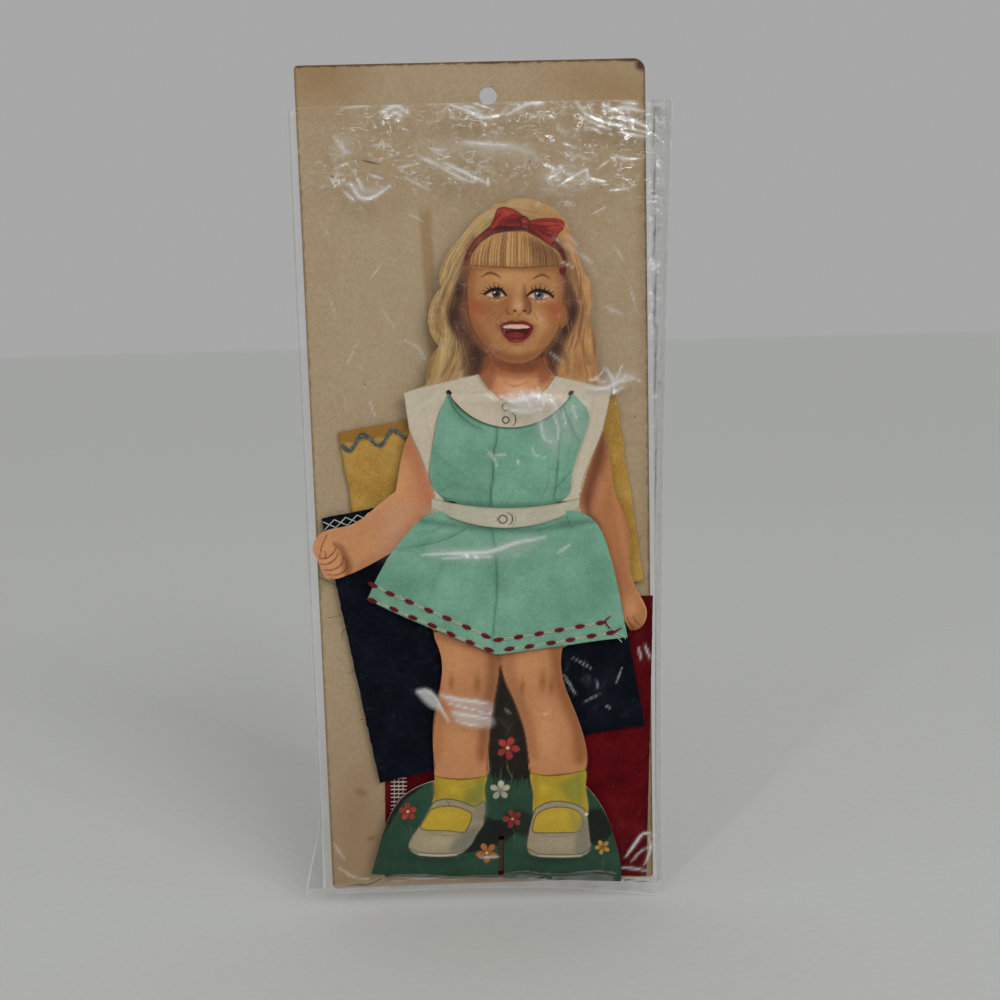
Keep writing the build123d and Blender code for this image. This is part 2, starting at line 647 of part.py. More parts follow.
with BuildPart() as bag_bottom_seam:
    with BuildSketch(Plane.XZ.offset(film_back)):
        ear_left = left_foot - FILM_THICKNESS - EAR_WIDTH
        fin_right = right_foot + FILM_THICKNESS + FIN_WIDTH
        seam_foot = seam_top - SEAM_HEIGHT
        with BuildLine():
            Line((ear_left, seam_top), (fin_right, seam_top))
            Line((fin_right, seam_top), (fin_right, seam_foot - SEAM_DIP))
            Spline((fin_right, seam_foot - SEAM_DIP), (fin_right / 2, seam_foot - SEAM_DIP / 3),
                   (0, seam_foot), (ear_left, seam_foot))
            Line((ear_left, seam_foot), (ear_left, seam_top))
        make_face()
    extrude(amount=2 * FILM_THICKNESS)
bag_bottom_seam.part.label = "bag_bottom_seam"
export_step(bag_bottom_seam.part, "parts/bag_bottom_seam.step")
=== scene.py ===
"""Dressing of the carded paper doll set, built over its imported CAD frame."""
import bpy
import math
import random
import numpy as np
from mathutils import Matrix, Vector


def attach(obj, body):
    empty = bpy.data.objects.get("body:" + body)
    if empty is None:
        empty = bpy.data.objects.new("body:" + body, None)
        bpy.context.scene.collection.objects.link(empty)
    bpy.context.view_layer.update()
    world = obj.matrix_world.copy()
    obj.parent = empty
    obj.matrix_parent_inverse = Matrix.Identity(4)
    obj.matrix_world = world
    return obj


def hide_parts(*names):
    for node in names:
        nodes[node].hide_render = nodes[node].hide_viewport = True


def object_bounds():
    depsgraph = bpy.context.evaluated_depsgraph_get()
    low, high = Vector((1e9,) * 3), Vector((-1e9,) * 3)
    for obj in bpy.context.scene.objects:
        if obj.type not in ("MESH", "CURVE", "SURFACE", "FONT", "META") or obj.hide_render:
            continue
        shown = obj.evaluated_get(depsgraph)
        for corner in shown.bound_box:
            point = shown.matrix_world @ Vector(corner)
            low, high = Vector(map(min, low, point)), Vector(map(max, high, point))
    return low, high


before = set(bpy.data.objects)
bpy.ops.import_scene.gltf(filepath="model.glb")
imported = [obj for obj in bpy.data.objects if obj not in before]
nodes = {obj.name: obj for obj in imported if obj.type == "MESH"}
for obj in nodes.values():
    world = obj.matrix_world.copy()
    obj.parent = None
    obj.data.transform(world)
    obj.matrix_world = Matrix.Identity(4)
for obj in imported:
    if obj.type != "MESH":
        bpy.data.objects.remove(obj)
cad_low, cad_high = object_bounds()

# Sizes are in millimetres until they become a mesh. A depth is how far a point lies in front of y = 0.
MM = 0.001
DOLL_X, DOLL_Z, DOLL_LEAN = -3.3, -297.4, math.radians(1.9)
DOLL_FRONT = 5.65
LIFT = 1.4
PRINT_GAP = 0.03
CLOTH_THICKNESS = 0.00028
LIGHT_LEVEL = 0.60

# The collar's hinge and lowest point, the middle of its slit, and half its width at the hinge.
COLLAR_HINGE, COLLAR_FOOT, COLLAR_MIDDLE, COLLAR_HALF = 190.2, 177.4, 2.05, 22.75
# The belt's middle and half its width, and how much higher its top and foot are at its ends.
BELT_MIDDLE, BELT_HALF, TOP_RISE, FOOT_RISE = 0.5, 24.4, 2.8, 5.8
# Top left corner and lean of each spare cloth.
YELLOW, NAVY, RED = ((-59.6, -120.5), -7.8), ((-67.1, -152.8), -9.6), ((-45.0, -183.5), 1.9)
# The pouch's mouth and floor, the weld below its floor, and the depths of its back, welds and front edge.
MOUTH, FLOOR, WELD = -3.6, -301.5, 0.15
FILM_BACK, FILM_WELD, FILM_EDGE = -0.82, -0.75, 0.78


# ---- plain helpers ------------------------------------------------------------------------
def surface_colour(display):
    """Linear colour that looks like a display colour, 0 to 255, under the studio light."""
    shade = np.asarray(display, float) / 255
    linear = np.where(shade <= 0.04045, shade / 12.92, ((shade + 0.055) / 1.055) ** 2.4)
    return np.clip(linear / LIGHT_LEVEL, 0, 0.92)


def seen(red, green, blue):
    return tuple(surface_colour((red, green, blue))) + (1.0,)


def on_doll(u, v, depth):
    """Points of the doll's own upright frame, in metres in the set's frame."""
    x = DOLL_X + u * math.cos(DOLL_LEAN) + v * math.sin(DOLL_LEAN)
    z = DOLL_Z - u * math.sin(DOLL_LEAN) + v * math.cos(DOLL_LEAN)
    return np.stack([x, -depth + 0 * x, z], -1) * MM


def on_sheet(corner, lean, s, t, depth):
    """Points s along and t up a leaning sheet from its top left corner, in metres."""
    turn = math.radians(lean)
    x = corner[0] + s * math.cos(turn) + t * math.sin(turn)
    z = corner[1] - s * math.sin(turn) + t * math.cos(turn)
    return np.stack([x, -depth + 0 * x, z], -1) * MM


def to_doll(points):
    """The doll-frame (u, v) of points in metres."""
    x = points[:, 0] / MM - DOLL_X
    z = points[:, 2] / MM - DOLL_Z
    return np.stack([x * math.cos(DOLL_LEAN) - z * math.sin(DOLL_LEAN),
        x * math.sin(DOLL_LEAN) + z * math.cos(DOLL_LEAN)], -1)


def circle(u, v, wide, high, corners=9, end=2 * math.pi):
    """Points round an oval, from its right."""
    return [(u + wide * math.cos(a), v + high * math.sin(a)) for a in np.linspace(0, end, corners)]


def diamond(u, v, reach):
    return [(u - reach, v), (u, v + reach), (u + reach, v), (u, v - reach)]


def running_length(line):
    """How long a line is up to each of its points."""
    return np.concatenate([[0], np.cumsum(np.hypot(*np.diff(line, axis=0).T))])


def along_line(line, share):
    """Points at even shares of a line's length."""
    run = running_length(line)
    return np.stack([np.interp(share * run[-1], run, line[:, k]) for k in (0, 1)], -1)


def smooth_line(points, closed=False, steps=8):
    """A soft curve through the points."""
    p = np.array(points, float)
    if len(p) < 3:
        return p
    n = len(p)
    i = np.arange(n if closed else n - 1)
    if closed:
        a, b, c, d = p[(i - 1) % n], p[i], p[(i + 1) % n], p[(i + 2) % n]
    else:
        a, b, c, d = p[np.maximum(i - 1, 0)], p[i], p[i + 1], p[np.minimum(i + 2, n - 1)]
    t = np.linspace(0, 1, steps, endpoint=False)[:, None, None]
    q = 0.5 * (2 * b + (c - a) * t + (2 * a - 5 * b + 4 * c - d) * t ** 2
        + (3 * b - a - 3 * c + d) * t ** 3)
    q = q.transpose(1, 0, 2).reshape(-1, p.shape[1])
    return q if closed else np.vstack([q, p[-1:]])


def value_noise(x, y, seed):
    """Smooth noise from 0 to 1 with cells of one unit."""
    grid = np.random.default_rng(seed).random((64, 64))
    xi, yi = np.floor(x).astype(int), np.floor(y).astype(int)
    fx, fy = x - xi, y - yi
    fx, fy = fx * fx * (3 - 2 * fx), fy * fy * (3 - 2 * fy)
    corner = lambda a, b: grid[(xi + a) % 64, (yi + b) % 64]
    low = corner(0, 0) * (1 - fx) + corner(1, 0) * fx
    high = corner(0, 1) * (1 - fx) + corner(1, 1) * fx
    return low * (1 - fy) + high * fy


def layered_noise(x, y, seed, layers=4):
    """Noise from 0 to 1 with finer, weaker noise over it."""
    total, weight = 0, 0
    for k in range(layers):
        total = total + value_noise(x * 2 ** k, y * 2 ** k, seed + k) / 2 ** k
        weight += 1 / 2 ** k
    return total / weight


def mesh_piece(name, points, faces, finish, body, uv=None, colours=None):
    """A mesh object at the origin that rides on a body; points may come as a grid."""
    mesh = bpy.data.meshes.new(name)
    mesh.from_pydata([tuple(p) for p in np.reshape(points, (-1, 3))], [], [tuple(f) for f in faces])
    mesh.validate()
    mesh.polygons.foreach_set("use_smooth", np.ones(len(mesh.polygons), bool))
    if uv is not None:
        corner = np.zeros(len(mesh.loops), int)
        mesh.loops.foreach_get("vertex_index", corner)
        layer = mesh.uv_layers.new(name="cloth")
        layer.data.foreach_set("uv", np.reshape(uv, (-1, 2)).astype(np.float32)[corner].ravel())
    for label, values in (colours or {}).items():
        layer = mesh.color_attributes.new(label, "FLOAT_COLOR", "POINT")
        layer.data.foreach_set("color", np.asarray(values, np.float32).ravel())
    mesh.materials.append(finish)
    return riding(name, mesh, body)


def riding(name, mesh, body):
    """An object for a mesh that rides on a body."""
    piece = bpy.data.objects.new(name, mesh)
    bpy.context.collection.objects.link(piece)
    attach(piece, body)
    return piece


def grid_faces(rows, columns, downwards=False):
    """Faces of a grid of points, turned to the front for rows that go up, or downwards."""
    i = (np.arange(rows - 1)[:, None] * columns + np.arange(columns - 1)[None, :]).ravel()
    quad = np.stack([i, i + 1, i + columns + 1, i + columns], -1)
    return quad[:, ::-1] if downwards else quad


# ---- finishes -----------------------------------------------------------------------------
class Finish:
    """A node material, and short ways to add to it."""

    def __init__(self, name):
        self.material = bpy.data.materials.new(name)
        self.material.use_nodes = True
        self.tree = self.material.node_tree
        self.shader = self.tree.nodes["Principled BSDF"]

    def node(self, kind, inputs=None, **settings):
        made = self.tree.nodes.new(kind)
        for key, value in settings.items():
            setattr(made, key, value)
        for key, value in (inputs or {}).items():
            self.feed(made.inputs[key], value)
        return made

    def feed(self, socket, value):
        if isinstance(value, bpy.types.NodeSocket):
            self.tree.links.new(value, socket)
        else:
            socket.default_value = value

    def place(self, scale=(1, 1, 1), source="Object", shift=(0, 0, 0)):
        where = self.node("ShaderNodeTexCoord").outputs[source]
        return self.node("ShaderNodeMapping", {"Vector": where, "Scale": scale,
            "Location": shift}).outputs["Vector"]

    def noise(self, scale, where, detail=4.0, roughness=0.6, distortion=0.0):
        return self.node("ShaderNodeTexNoise", {"Scale": scale, "Detail": detail, "Vector": where,
            "Roughness": roughness, "Distortion": distortion}).outputs["Fac"]

    def ramp(self, value, *stops):
        ramp = self.node("ShaderNodeValToRGB", {"Fac": value})
        band = ramp.color_ramp
        band.elements[0].position, band.elements[0].color = stops[0]
        band.elements[1].position, band.elements[1].color = stops[-1]
        for place, colour in stops[1:-1]:
            band.elements.new(place).color = colour
        return ramp.outputs["Color"]

    def fade(self, value, low, high, top=1.0):
        return self.node("ShaderNodeMapRange", {"Value": value, "From Min": low, "From Max": high,
            "To Min": 0.0, "To Max": top}).outputs["Result"]

    def calc(self, operation, a, b):
        return self.node("ShaderNodeMath", {0: a, 1: b}, operation=operation).outputs[0]

    def mix(self, share, a, b, blend="MIX"):
        made = self.node("ShaderNodeMix", data_type="RGBA", blend_type=blend)
        self.feed(made.inputs[0], share)
        self.feed(made.inputs[6], a)
        self.feed(made.inputs[7], b)
        return made.outputs[2]

    def bump(self, height, strength=0.3, distance=0.0002):
        made = self.node("ShaderNodeBump", {"Height": height, "Strength": strength, "Distance": distance})
        self.feed(self.shader.inputs["Normal"], made.outputs["Normal"])

    def spot(self, where, x, z, wide, high, turn=0.0, soft=0.5, share=1.0):
        """1 at the middle of a turned oval on the front plane, 0 past its edge; in millimetres."""
        near = self.node("ShaderNodeMapping", {"Vector": where, "Location": (x * MM, 0, z * MM),
            "Rotation": (0, math.radians(turn), 0), "Scale": (wide * MM, 1000.0, high * MM)},
            vector_type="TEXTURE")
        far = self.node("ShaderNodeVectorMath", {0: near.outputs["Vector"]}, operation="LENGTH")
        return self.fade(far.outputs["Value"], 1.0, 1.0 - soft, share)

    def set(self, **values):
        for key, value in values.items():
            self.feed(self.shader.inputs[key.replace("_", " ")], value)
        return self.material


STAINS = (
    (-60, 10, 24, 19, 0, 0.8, 0.55, (128, 96, 58)), (46, 2, 34, 11, 10, 0.9, 0.50, (130, 98, 60)),
    (14, 13, 50, 4, 0, 0.9, 0.40, (132, 102, 66)), (57, -40, 5, 60, 0, 0.9, 0.40, (132, 106, 74)),
    (-60, -272, 9, 26, 8, 0.9, 0.40, (122, 92, 60)), (-57, -262, 3.4, 2.2, 20, 0.8, 0.5, (98, 66, 40)),
    (-54, -281, 2.4, 1.4, -30, 0.8, 0.5, (98, 66, 40)), (-20, -75, 40, 46, 0, 1.0, 0.28, (166, 150, 124)),
    (55.9, 9.6, 3.2, 3.0, 0, 0.6, 0.92, (54, 38, 26)), (51.6, 11.5, 5.2, 1.2, 0, 0.6, 0.85, (60, 42, 28)),
    (1.0, 11.6, 6.0, 0.9, 0, 0.6, 0.75, (84, 60, 40)), (-42, 11.9, 12, 0.5, 0, 0.6, 0.55, (92, 68, 46)),
    (-43.6, -22.5, 4.7, 0.42, 14.5, 0.7, 0.85, (72, 50, 34)),
    (-57.6, -27.4, 0.6, 0.5, 0, 0.7, 0.9, (56, 40, 28)),
    (14.5, -23.6, 0.5, 0.5, 0, 0.7, 0.9, (56, 40, 28)), (52, -118, 0.5, 0.6, 0, 0.7, 0.8, (66, 48, 34)),
    (40.6, -33.6, 0.5, 0.4, 0, 0.7, 0.8, (66, 48, 34)), (-49, -103, 0.4, 0.5, 0, 0.7, 0.8, (70, 50, 34)),
)


def kraft_board_finish():
    f = Finish("kraft_board")
    where = f.place()
    fibre = f.noise(1000, where, 6, 0.75)
    cloud = f.noise(46, where, 5, 0.7)
    colour = f.ramp(fibre, (0.24, seen(138, 117, 90)), (0.52, seen(151, 132, 106)),
        (0.80, seen(162, 145, 119)))
    colour = f.mix(f.fade(cloud, 0.48, 0.76, 0.34), colour, seen(138, 115, 87))
    colour = f.mix(f.fade(cloud, 0.48, 0.26, 0.26), colour, seen(158, 141, 117))
    fleck = f.noise(2300, where, 2, 0.5)
    colour = f.mix(f.fade(fleck, 0.68, 0.78, 0.6), colour, seen(100, 76, 52))
    down = f.node("ShaderNodeSeparateXYZ", {"Vector": where}).outputs["Z"]
    colour = f.mix(f.fade(down, -0.20, -0.30, 0.65), colour, seen(122, 99, 73))
    for x, z, wide, high, turn, soft, share, tone in STAINS:
        colour = f.mix(f.spot(where, x, z, wide, high, turn, soft, share), colour, seen(*tone))
    # browned strip where tape once held the doll
    split = f.node("ShaderNodeSeparateXYZ", {"Vector": where})
    middle = f.calc("MULTIPLY_ADD", split.outputs["Z"], 0.0305)
    middle.node.inputs[2].default_value = 0.0255
    away = f.calc("ABSOLUTE", f.calc("ADD", split.outputs["X"], middle), 0.0)
    strip = f.fade(away, 0.0030, 0.0013, 0.55)
    below = f.fade(split.outputs["Z"], -0.038, -0.042)
    above = f.fade(split.outputs["Z"], -0.112, -0.106)
    strip = f.calc("MULTIPLY", strip, f.calc("MULTIPLY", below, above))
    colour = f.mix(strip, colour, seen(126, 96, 58))
    # rubbed, darkened edges
    rough = f.fade(f.noise(260, where, 4, 0.7), 0.3, 0.7, 0.0009)
    for axis, edge, way, share in (("Z", 0.0119, 1, 0.85), ("X", -0.0698, -1, 0.5),
            ("X", 0.0572, 1, 0.6)):
        gap = f.calc("MULTIPLY", f.calc("SUBTRACT", edge, split.outputs[axis]), float(way))
        gap = f.calc("SUBTRACT", gap, rough)
        colour = f.mix(f.fade(gap, 0.0006, 0.0, share), colour, seen(84, 58, 36))
    f.bump(fibre, 0.35, 0.00015)
    return f.set(Base_Color=colour, Roughness=0.82, Specular_IOR_Level=0.2)


def board_core_finish(name="board_core", dark=(150, 138, 116), light=(178, 168, 148)):
    f = Finish(name)
    where = f.place()
    pulp = f.noise(1300, where, 5, 0.7)
    colour = f.ramp(pulp, (0.3, seen(*dark)), (0.7, seen(*light)))
    f.bump(pulp, 0.4, 0.0001)
    return f.set(Base_Color=colour, Roughness=0.8, Specular_IOR_Level=0.2)


def printed_paper_finish():
    f = Finish("printed_paper")
    ink = f.node("ShaderNodeAttribute", attribute_name="print").outputs["Color"]
    grain = f.noise(2400, f.place(), 3, 0.7)
    colour = f.mix(f.fade(grain, 0.35, 0.65, 0.10), ink, (0.02, 0.012, 0.006, 1))
    f.bump(grain, 0.08, 0.00005)
    return f.set(Base_Color=colour, Roughness=0.6, Specular_IOR_Level=0.2)


def woven_finish(name, dark, plain, light, pitch, hem=None, with_greying_and_light=False):
    """Plain weave that follows the cloth's own UV, which is in millimetres."""
    f = Finish(name)
    where = f.place(source="UV")
    bands = [f.node("ShaderNodeTexWave", {"Vector": where, "Scale": 1 / (pitch * 3.2), "Distortion": 0.8,
        "Detail": 1.0, "Detail Scale": 2.0}, bands_direction=way).outputs["Fac"] for way in "XY"]
    cloth = f.calc("MULTIPLY", f.calc("ADD", *bands), 0.5)
    slubs = [f.noise(1.6, f.place(source="UV", scale=stretch), 4, 0.75)
        for stretch in ((0.30, 2.6, 1), (2.6, 0.30, 1))]
    slub = f.calc("MULTIPLY", f.calc("ADD", *slubs), 0.5)
    cloud = f.noise(0.07, where, 4)
    value = f.calc("ADD", f.calc("MULTIPLY", cloth, 0.14), f.calc("ADD", f.calc("MULTIPLY", slub, 1.0),
        f.calc("MULTIPLY", cloud, 0.45)))
    colour = f.ramp(value, (0.62, dark), (0.79, plain), (0.96, light))
    f.bump(f.calc("ADD", cloth, f.calc("MULTIPLY", slub, 0.35)), 0.6, 0.00012)
    if hem:
        down = f.node("ShaderNodeSeparateXYZ", {"Vector": where}).outputs["Y"]
        uneven = f.calc("ADD", down, f.fade(f.noise(0.3, where, 3), 0.3, 0.7, 1.4))
        colour = f.mix(f.fade(uneven, -4.4, -3.2, 0.75), colour, hem)
    # the dress's greyed places, with its painted shade and highlights in the creases and painted shadow
    # under collar and belt
    if with_greying_and_light:
        greying_and_painted_light = f.node("ShaderNodeAttribute", attribute_name="greying_and_painted_light").outputs["Color"]
        colour = f.mix(1.0, colour, greying_and_painted_light, "MULTIPLY")
    return f.set(Base_Color=colour, Roughness=0.9, Specular_IOR_Level=0.12, Sheen_Weight=0.0)


def thread_finish(name, dark, light, scale, sheen):
    f = Finish(name)
    strand = f.noise(scale, f.place(), 3, 0.7)
    colour = f.ramp(strand, (0.3, dark), (0.68, light))
    f.bump(strand, 0.4, 0.0001)
    return f.set(Base_Color=colour, Roughness=0.85, Specular_IOR_Level=0.15, Sheen_Weight=sheen)


def clear_film_finish(name="clear_film", whole=0.94):
    """Clear film. Its crease colour says how much shows (red), whitish creasing with painted highlights,
    how lit it is (green), a painted light and shade, and where it is finely crinkled (blue)."""
    f = Finish(name)
    crease = f.node("ShaderNodeAttribute", attribute_name="crease").outputs["Color"]
    parts = f.node("ShaderNodeSeparateColor", {"Color": crease})
    where = f.place(scale=(1.0, 1.0, 1.25))
    break_up = f.noise(1100, where, 3, 0.6)
    cover = f.calc("MULTIPLY", f.calc("MULTIPLY", parts.outputs["Red"], whole),
        f.fade(break_up, 0.10, 0.42))
    # fine crinkle lines, whitened as painted highlights on the crinkles
    for scale, shift, strength in ((170, 0.0, 1.0), (330, 0.3, 0.75)):
        fold = f.noise(scale, f.place(shift=(shift, shift, 0), scale=(0.8, 1.0, 1.5)), 2, 0.5, 0.6)
        line = f.fade(f.calc("ABSOLUTE", f.calc("SUBTRACT", fold, 0.5), 0.0), 0.022, 0.004, strength)
        broken = f.fade(f.noise(210, f.place(shift=(0, 0, shift)), 2, 0.5), 0.50, 0.62)
        line = f.calc("MULTIPLY", f.calc("MULTIPLY", line, broken), parts.outputs["Blue"])
        cover = f.calc("MAXIMUM", cover, line)
    # green turns the film brown-grey for painted shade, or white for painted light
    colour = f.mix(f.fade(parts.outputs["Green"], 0.45, 0.95), (0.075, 0.062, 0.055, 1),
        (1.0, 1.0, 0.99, 1))
    wrinkle = f.noise(330, f.place(), 4, 0.6, 0.8)
    f.bump(wrinkle, 0.5, 0.0006)
    return f.set(Base_Color=colour, Metallic=0.3, Alpha=f.calc("MINIMUM", cover, 0.95), Roughness=0.24)


# ---- camera, light and floor ------------------------------------------------------------------
def set_the_stage():
    scene = bpy.context.scene
    scene.view_settings.view_transform = "Standard"
    lens = bpy.data.cameras.new("camera")
    lens.lens, lens.sensor_width = 43.2, 36.0
    camera = bpy.data.objects.new("camera", lens)
    camera.location = (-0.008857, -0.45162, -0.08625)
    camera.rotation_euler = [math.radians(a) for a in (82.1862, 1.5242, -1.3818)]
    bpy.context.collection.objects.link(camera)
    scene.camera = camera

    wall = Finish("floor_paper")
    speck = wall.noise(300, wall.place(), 4)
    wall.set(Base_Color=wall.ramp(speck, (0.3, (0.735, 0.745, 0.725, 1)),
        (0.7, (0.765, 0.773, 0.753, 1))), Roughness=0.9, Specular_IOR_Level=0.1)
    reach, ground = 30.0, cad_low[2] - 0.0004
    mesh = bpy.data.meshes.new("floor")
    mesh.from_pydata([(-reach, -reach, ground), (reach, -reach, ground), (reach, reach, ground),
        (-reach, reach, ground)], [], [(0, 1, 2, 3)])
    mesh.materials.append(wall.material)
    floor = bpy.data.objects.new("floor", mesh)
    bpy.context.collection.objects.link(floor)

    world = bpy.data.worlds.new("studio")
    world.use_nodes = True
    back = world.node_tree.nodes["Background"]
    back.inputs["Color"].default_value = (0.385, 0.388, 0.385, 1)
    back.inputs["Strength"].default_value = 1.0
    scene.world = world

    sun = bpy.data.lights.new("soft_daylight", "SUN")
    sun.energy, sun.angle = 0.60, math.radians(26)
    lamp = bpy.data.objects.new("soft_daylight", sun)
    lamp.rotation_euler = Vector((-0.42, 0.74, -0.52)).to_track_quat("-Z", "Y").to_euler()
    bpy.context.collection.objects.link(lamp)
    for name, place, turn, size, power in (
            ("window_left", (-0.42, -0.75, 0.62), (48, 0, -30), (0.03, 0.40), 0.9),
            ("window_right", (0.55, -0.55, 0.25), (62, 0, 45), (0.03, 0.35), 0.5)):
        area = bpy.data.lights.new(name, "AREA")
        area.shape, area.size, area.size_y, area.energy = "RECTANGLE", size[0], size[1], power
        lamp = bpy.data.objects.new(name, area)
        lamp.location = place
        lamp.rotation_euler = [math.radians(a) for a in turn]
        bpy.context.collection.objects.link(lamp)


set_the_stage()


# ---- painter for the printed board ------------------------------------------------------------
class Print:
    """Display colours laid on points of the doll's frame, stroke by stroke."""

    def __init__(self, points, ground):
        self.at = np.reshape(points, (-1, 2))
        self.colour = np.tile(np.array(ground, float), (len(self.at), 1))

    def near(self, line, reach):
        low, high = line.min(0) - reach, line.max(0) + reach
        return np.where(((self.at > low) & (self.at < high)).all(1))[0]

    @staticmethod
    def measure(points, line, closed):
        """Distance to a line, and how far along it the nearest point is, from 0 to 1."""
        a = line
        b = np.roll(line, -1, 0) if closed else line[1:]
        a = a if closed else line[:-1]
        run = np.concatenate([[0], np.cumsum(np.hypot(*(b - a).T))])
        best = np.full(len(points), 1e9)
        along = np.zeros(len(points))
        for k in range(len(a)):
            d = b[k] - a[k]
            size = max(float(d @ d), 1e-12)
            t = np.clip(((points - a[k]) @ d) / size, 0, 1)
            gap = np.hypot(*(points - a[k] - t[:, None] * d).T)
            closer = gap < best
            best[closer] = gap[closer]
            along[closer] = run[k] + t[closer] * math.sqrt(size)
        return best, along / max(run[-1], 1e-9)

    @staticmethod
    def inside(points, line):
        x, y = points.T
        odd = np.zeros(len(points), bool)
        ends = np.roll(line, -1, 0)
        for (ax, ay), (bx, by) in zip(line, ends):
            if ay == by:
                continue
            odd ^= ((ay > y) != (by > y)) & (x < ax + (y - ay) * (bx - ax) / (by - ay))
        return odd

    def lay(self, where, share, colour):
        self.colour[where] += (np.array(colour, float) - self.colour[where]) * share[:, None]

    def within(self, where, line):
        """How far inside a closed line the points lie, below 0 outside it."""
        gap, _ = self.measure(self.at[where], line, True)
        return np.where(self.inside(self.at[where], line), gap, -gap)

    def patch(self, points, reach, smooth):
        line = smooth_line(points, True) if smooth else np.array(points, float)
        where = self.near(line, reach)
        return where, self.within(where, line) if len(where) else np.zeros(0)

    def fill(self, points, colour, soft=0.3, share=1.0, smooth=True, spread=0.0):
        where, gap = self.patch(points, soft + abs(spread) + 0.1, smooth)
        self.lay(where, np.clip(0.5 + (gap + spread) / soft, 0, 1) * share, colour)

    def shade(self, points, colour, soft, share, smooth=True):
        """A soft-edged patch that reaches its full strength soft millimetres inside its edge."""
        where, gap = self.patch(points, soft + 0.1, smooth)
        t = np.clip(0.5 + gap / (2 * soft), 0, 1)
        self.lay(where, t * t * (3 - 2 * t) * share, colour)

    def stroke(self, points, colour, width=0.4, share=1.0, taper=(0.4, 1, 0.4), soft=0.25):
        line = smooth_line(points)
        where = self.near(line, width + soft + 0.1)
        if not len(where):
            return
        gap, along = self.measure(self.at[where], line, False)
        half = 0.5 * width * np.interp(along, np.linspace(0, 1, len(taper)), taper)
        self.lay(where, np.clip(0.5 - (gap - half) / soft, 0, 1) * share, colour)

    def outline(self, points, colour, width, share):
        self.stroke(points + points[:1], colour, width, share, (1, 1))

    def glow(self, centre, radius, colour, share=0.5, turn=0.0):
        wide, high = radius if isinstance(radius, tuple) else (radius, radius)
        d = self.at - centre
        c, s = math.cos(math.radians(turn)), math.sin(math.radians(turn))
        x, y = (d[:, 0] * c + d[:, 1] * s) / wide, (d[:, 1] * c - d[:, 0] * s) / high
        fall = np.exp(-(x * x + y * y))
        where = np.where(fall > 0.01)[0]
        self.lay(where, fall[where] * share, colour)

    def mottle(self, where, size, amount, seed):
        """Uneven ink."""
        x, y = self.at[where].T
        change = (layered_noise(x / size, y / size, seed) - 0.5) * 2 * amount
        self.colour[where] *= (1 + change)[:, None]

    def strands(self, outer, inner, tones, seed, fine, soft, share):
        """Hair that flows between two guide lines, from the first point of each to the last."""
        a, b = smooth_line(outer, steps=14), smooth_line(inner, steps=14)
        steps = np.linspace(0, 1, 110)
        even = lambda line: np.stack([np.interp(steps, np.linspace(0, 1, len(line)), line[:, k])
            for k in (0, 1)], -1)
        a, b = even(a), even(b)
        across = np.linspace(0, 1, 70)
        sheet = a[:, None] * (1 - across)[None, :, None] + b[:, None] * across[None, :, None]
        edge = np.vstack([a, b[::-1]])
        where = self.near(edge, 0.6)
        if not len(where):
            return
        flat, spot = sheet.reshape(-1, 2), self.at[where]
        nearest, best = np.zeros(len(spot), int), np.full(len(spot), 1e9)
        for k in range(0, len(flat), 250):
            d = ((spot[:, None] - flat[None, k:k + 250]) ** 2).sum(-1)
            j = d.argmin(1)
            m = d[np.arange(len(spot)), j]
            closer = m < best
            best[closer], nearest[closer] = m[closer], j[closer] + k
        t, s = nearest // len(across) / len(steps), nearest % len(across) / len(across)
        lock = value_noise(s * fine / 4, t * 1.6, seed)
        hair = value_noise(s * fine, t * 3.0, seed + 1)
        wisp = value_noise(s * fine * 2.3, t * 5.0, seed + 2)
        level = np.clip(0.45 * lock + 0.33 * hair + 0.22 * wisp, 0, 1)
        level = np.clip((level - 0.5) * 1.7 + 0.5, 0, 1)
        bands = np.array([tone for _, tone in tones], float)
        stops = [stop for stop, _ in tones]
        colour = np.stack([np.interp(level, stops, bands[:, k]) for k in range(3)], -1)
        self.lay(where, np.clip(0.5 + self.within(where, edge) / soft, 0, 1) * share, colour)


BOARD_WHITE = (177, 166, 146)
GOLD = (151, 124, 84)


def belt_bow(u):
    """How much of its rise the belt's curve has: 0 at its middle, 1 at its ends."""
    return ((u - BELT_MIDDLE) / BELT_HALF) ** 2


def collar_edge(u, foot):
    """Height of the collar's round edge, with its lowest point at a height."""
    sag = COLLAR_HINGE - COLLAR_FOOT
    radius = (COLLAR_HALF ** 2 + sag ** 2) / (2 * sag)
    return foot + radius - np.sqrt(np.maximum(radius ** 2 - (u - COLLAR_MIDDLE) ** 2, 0))


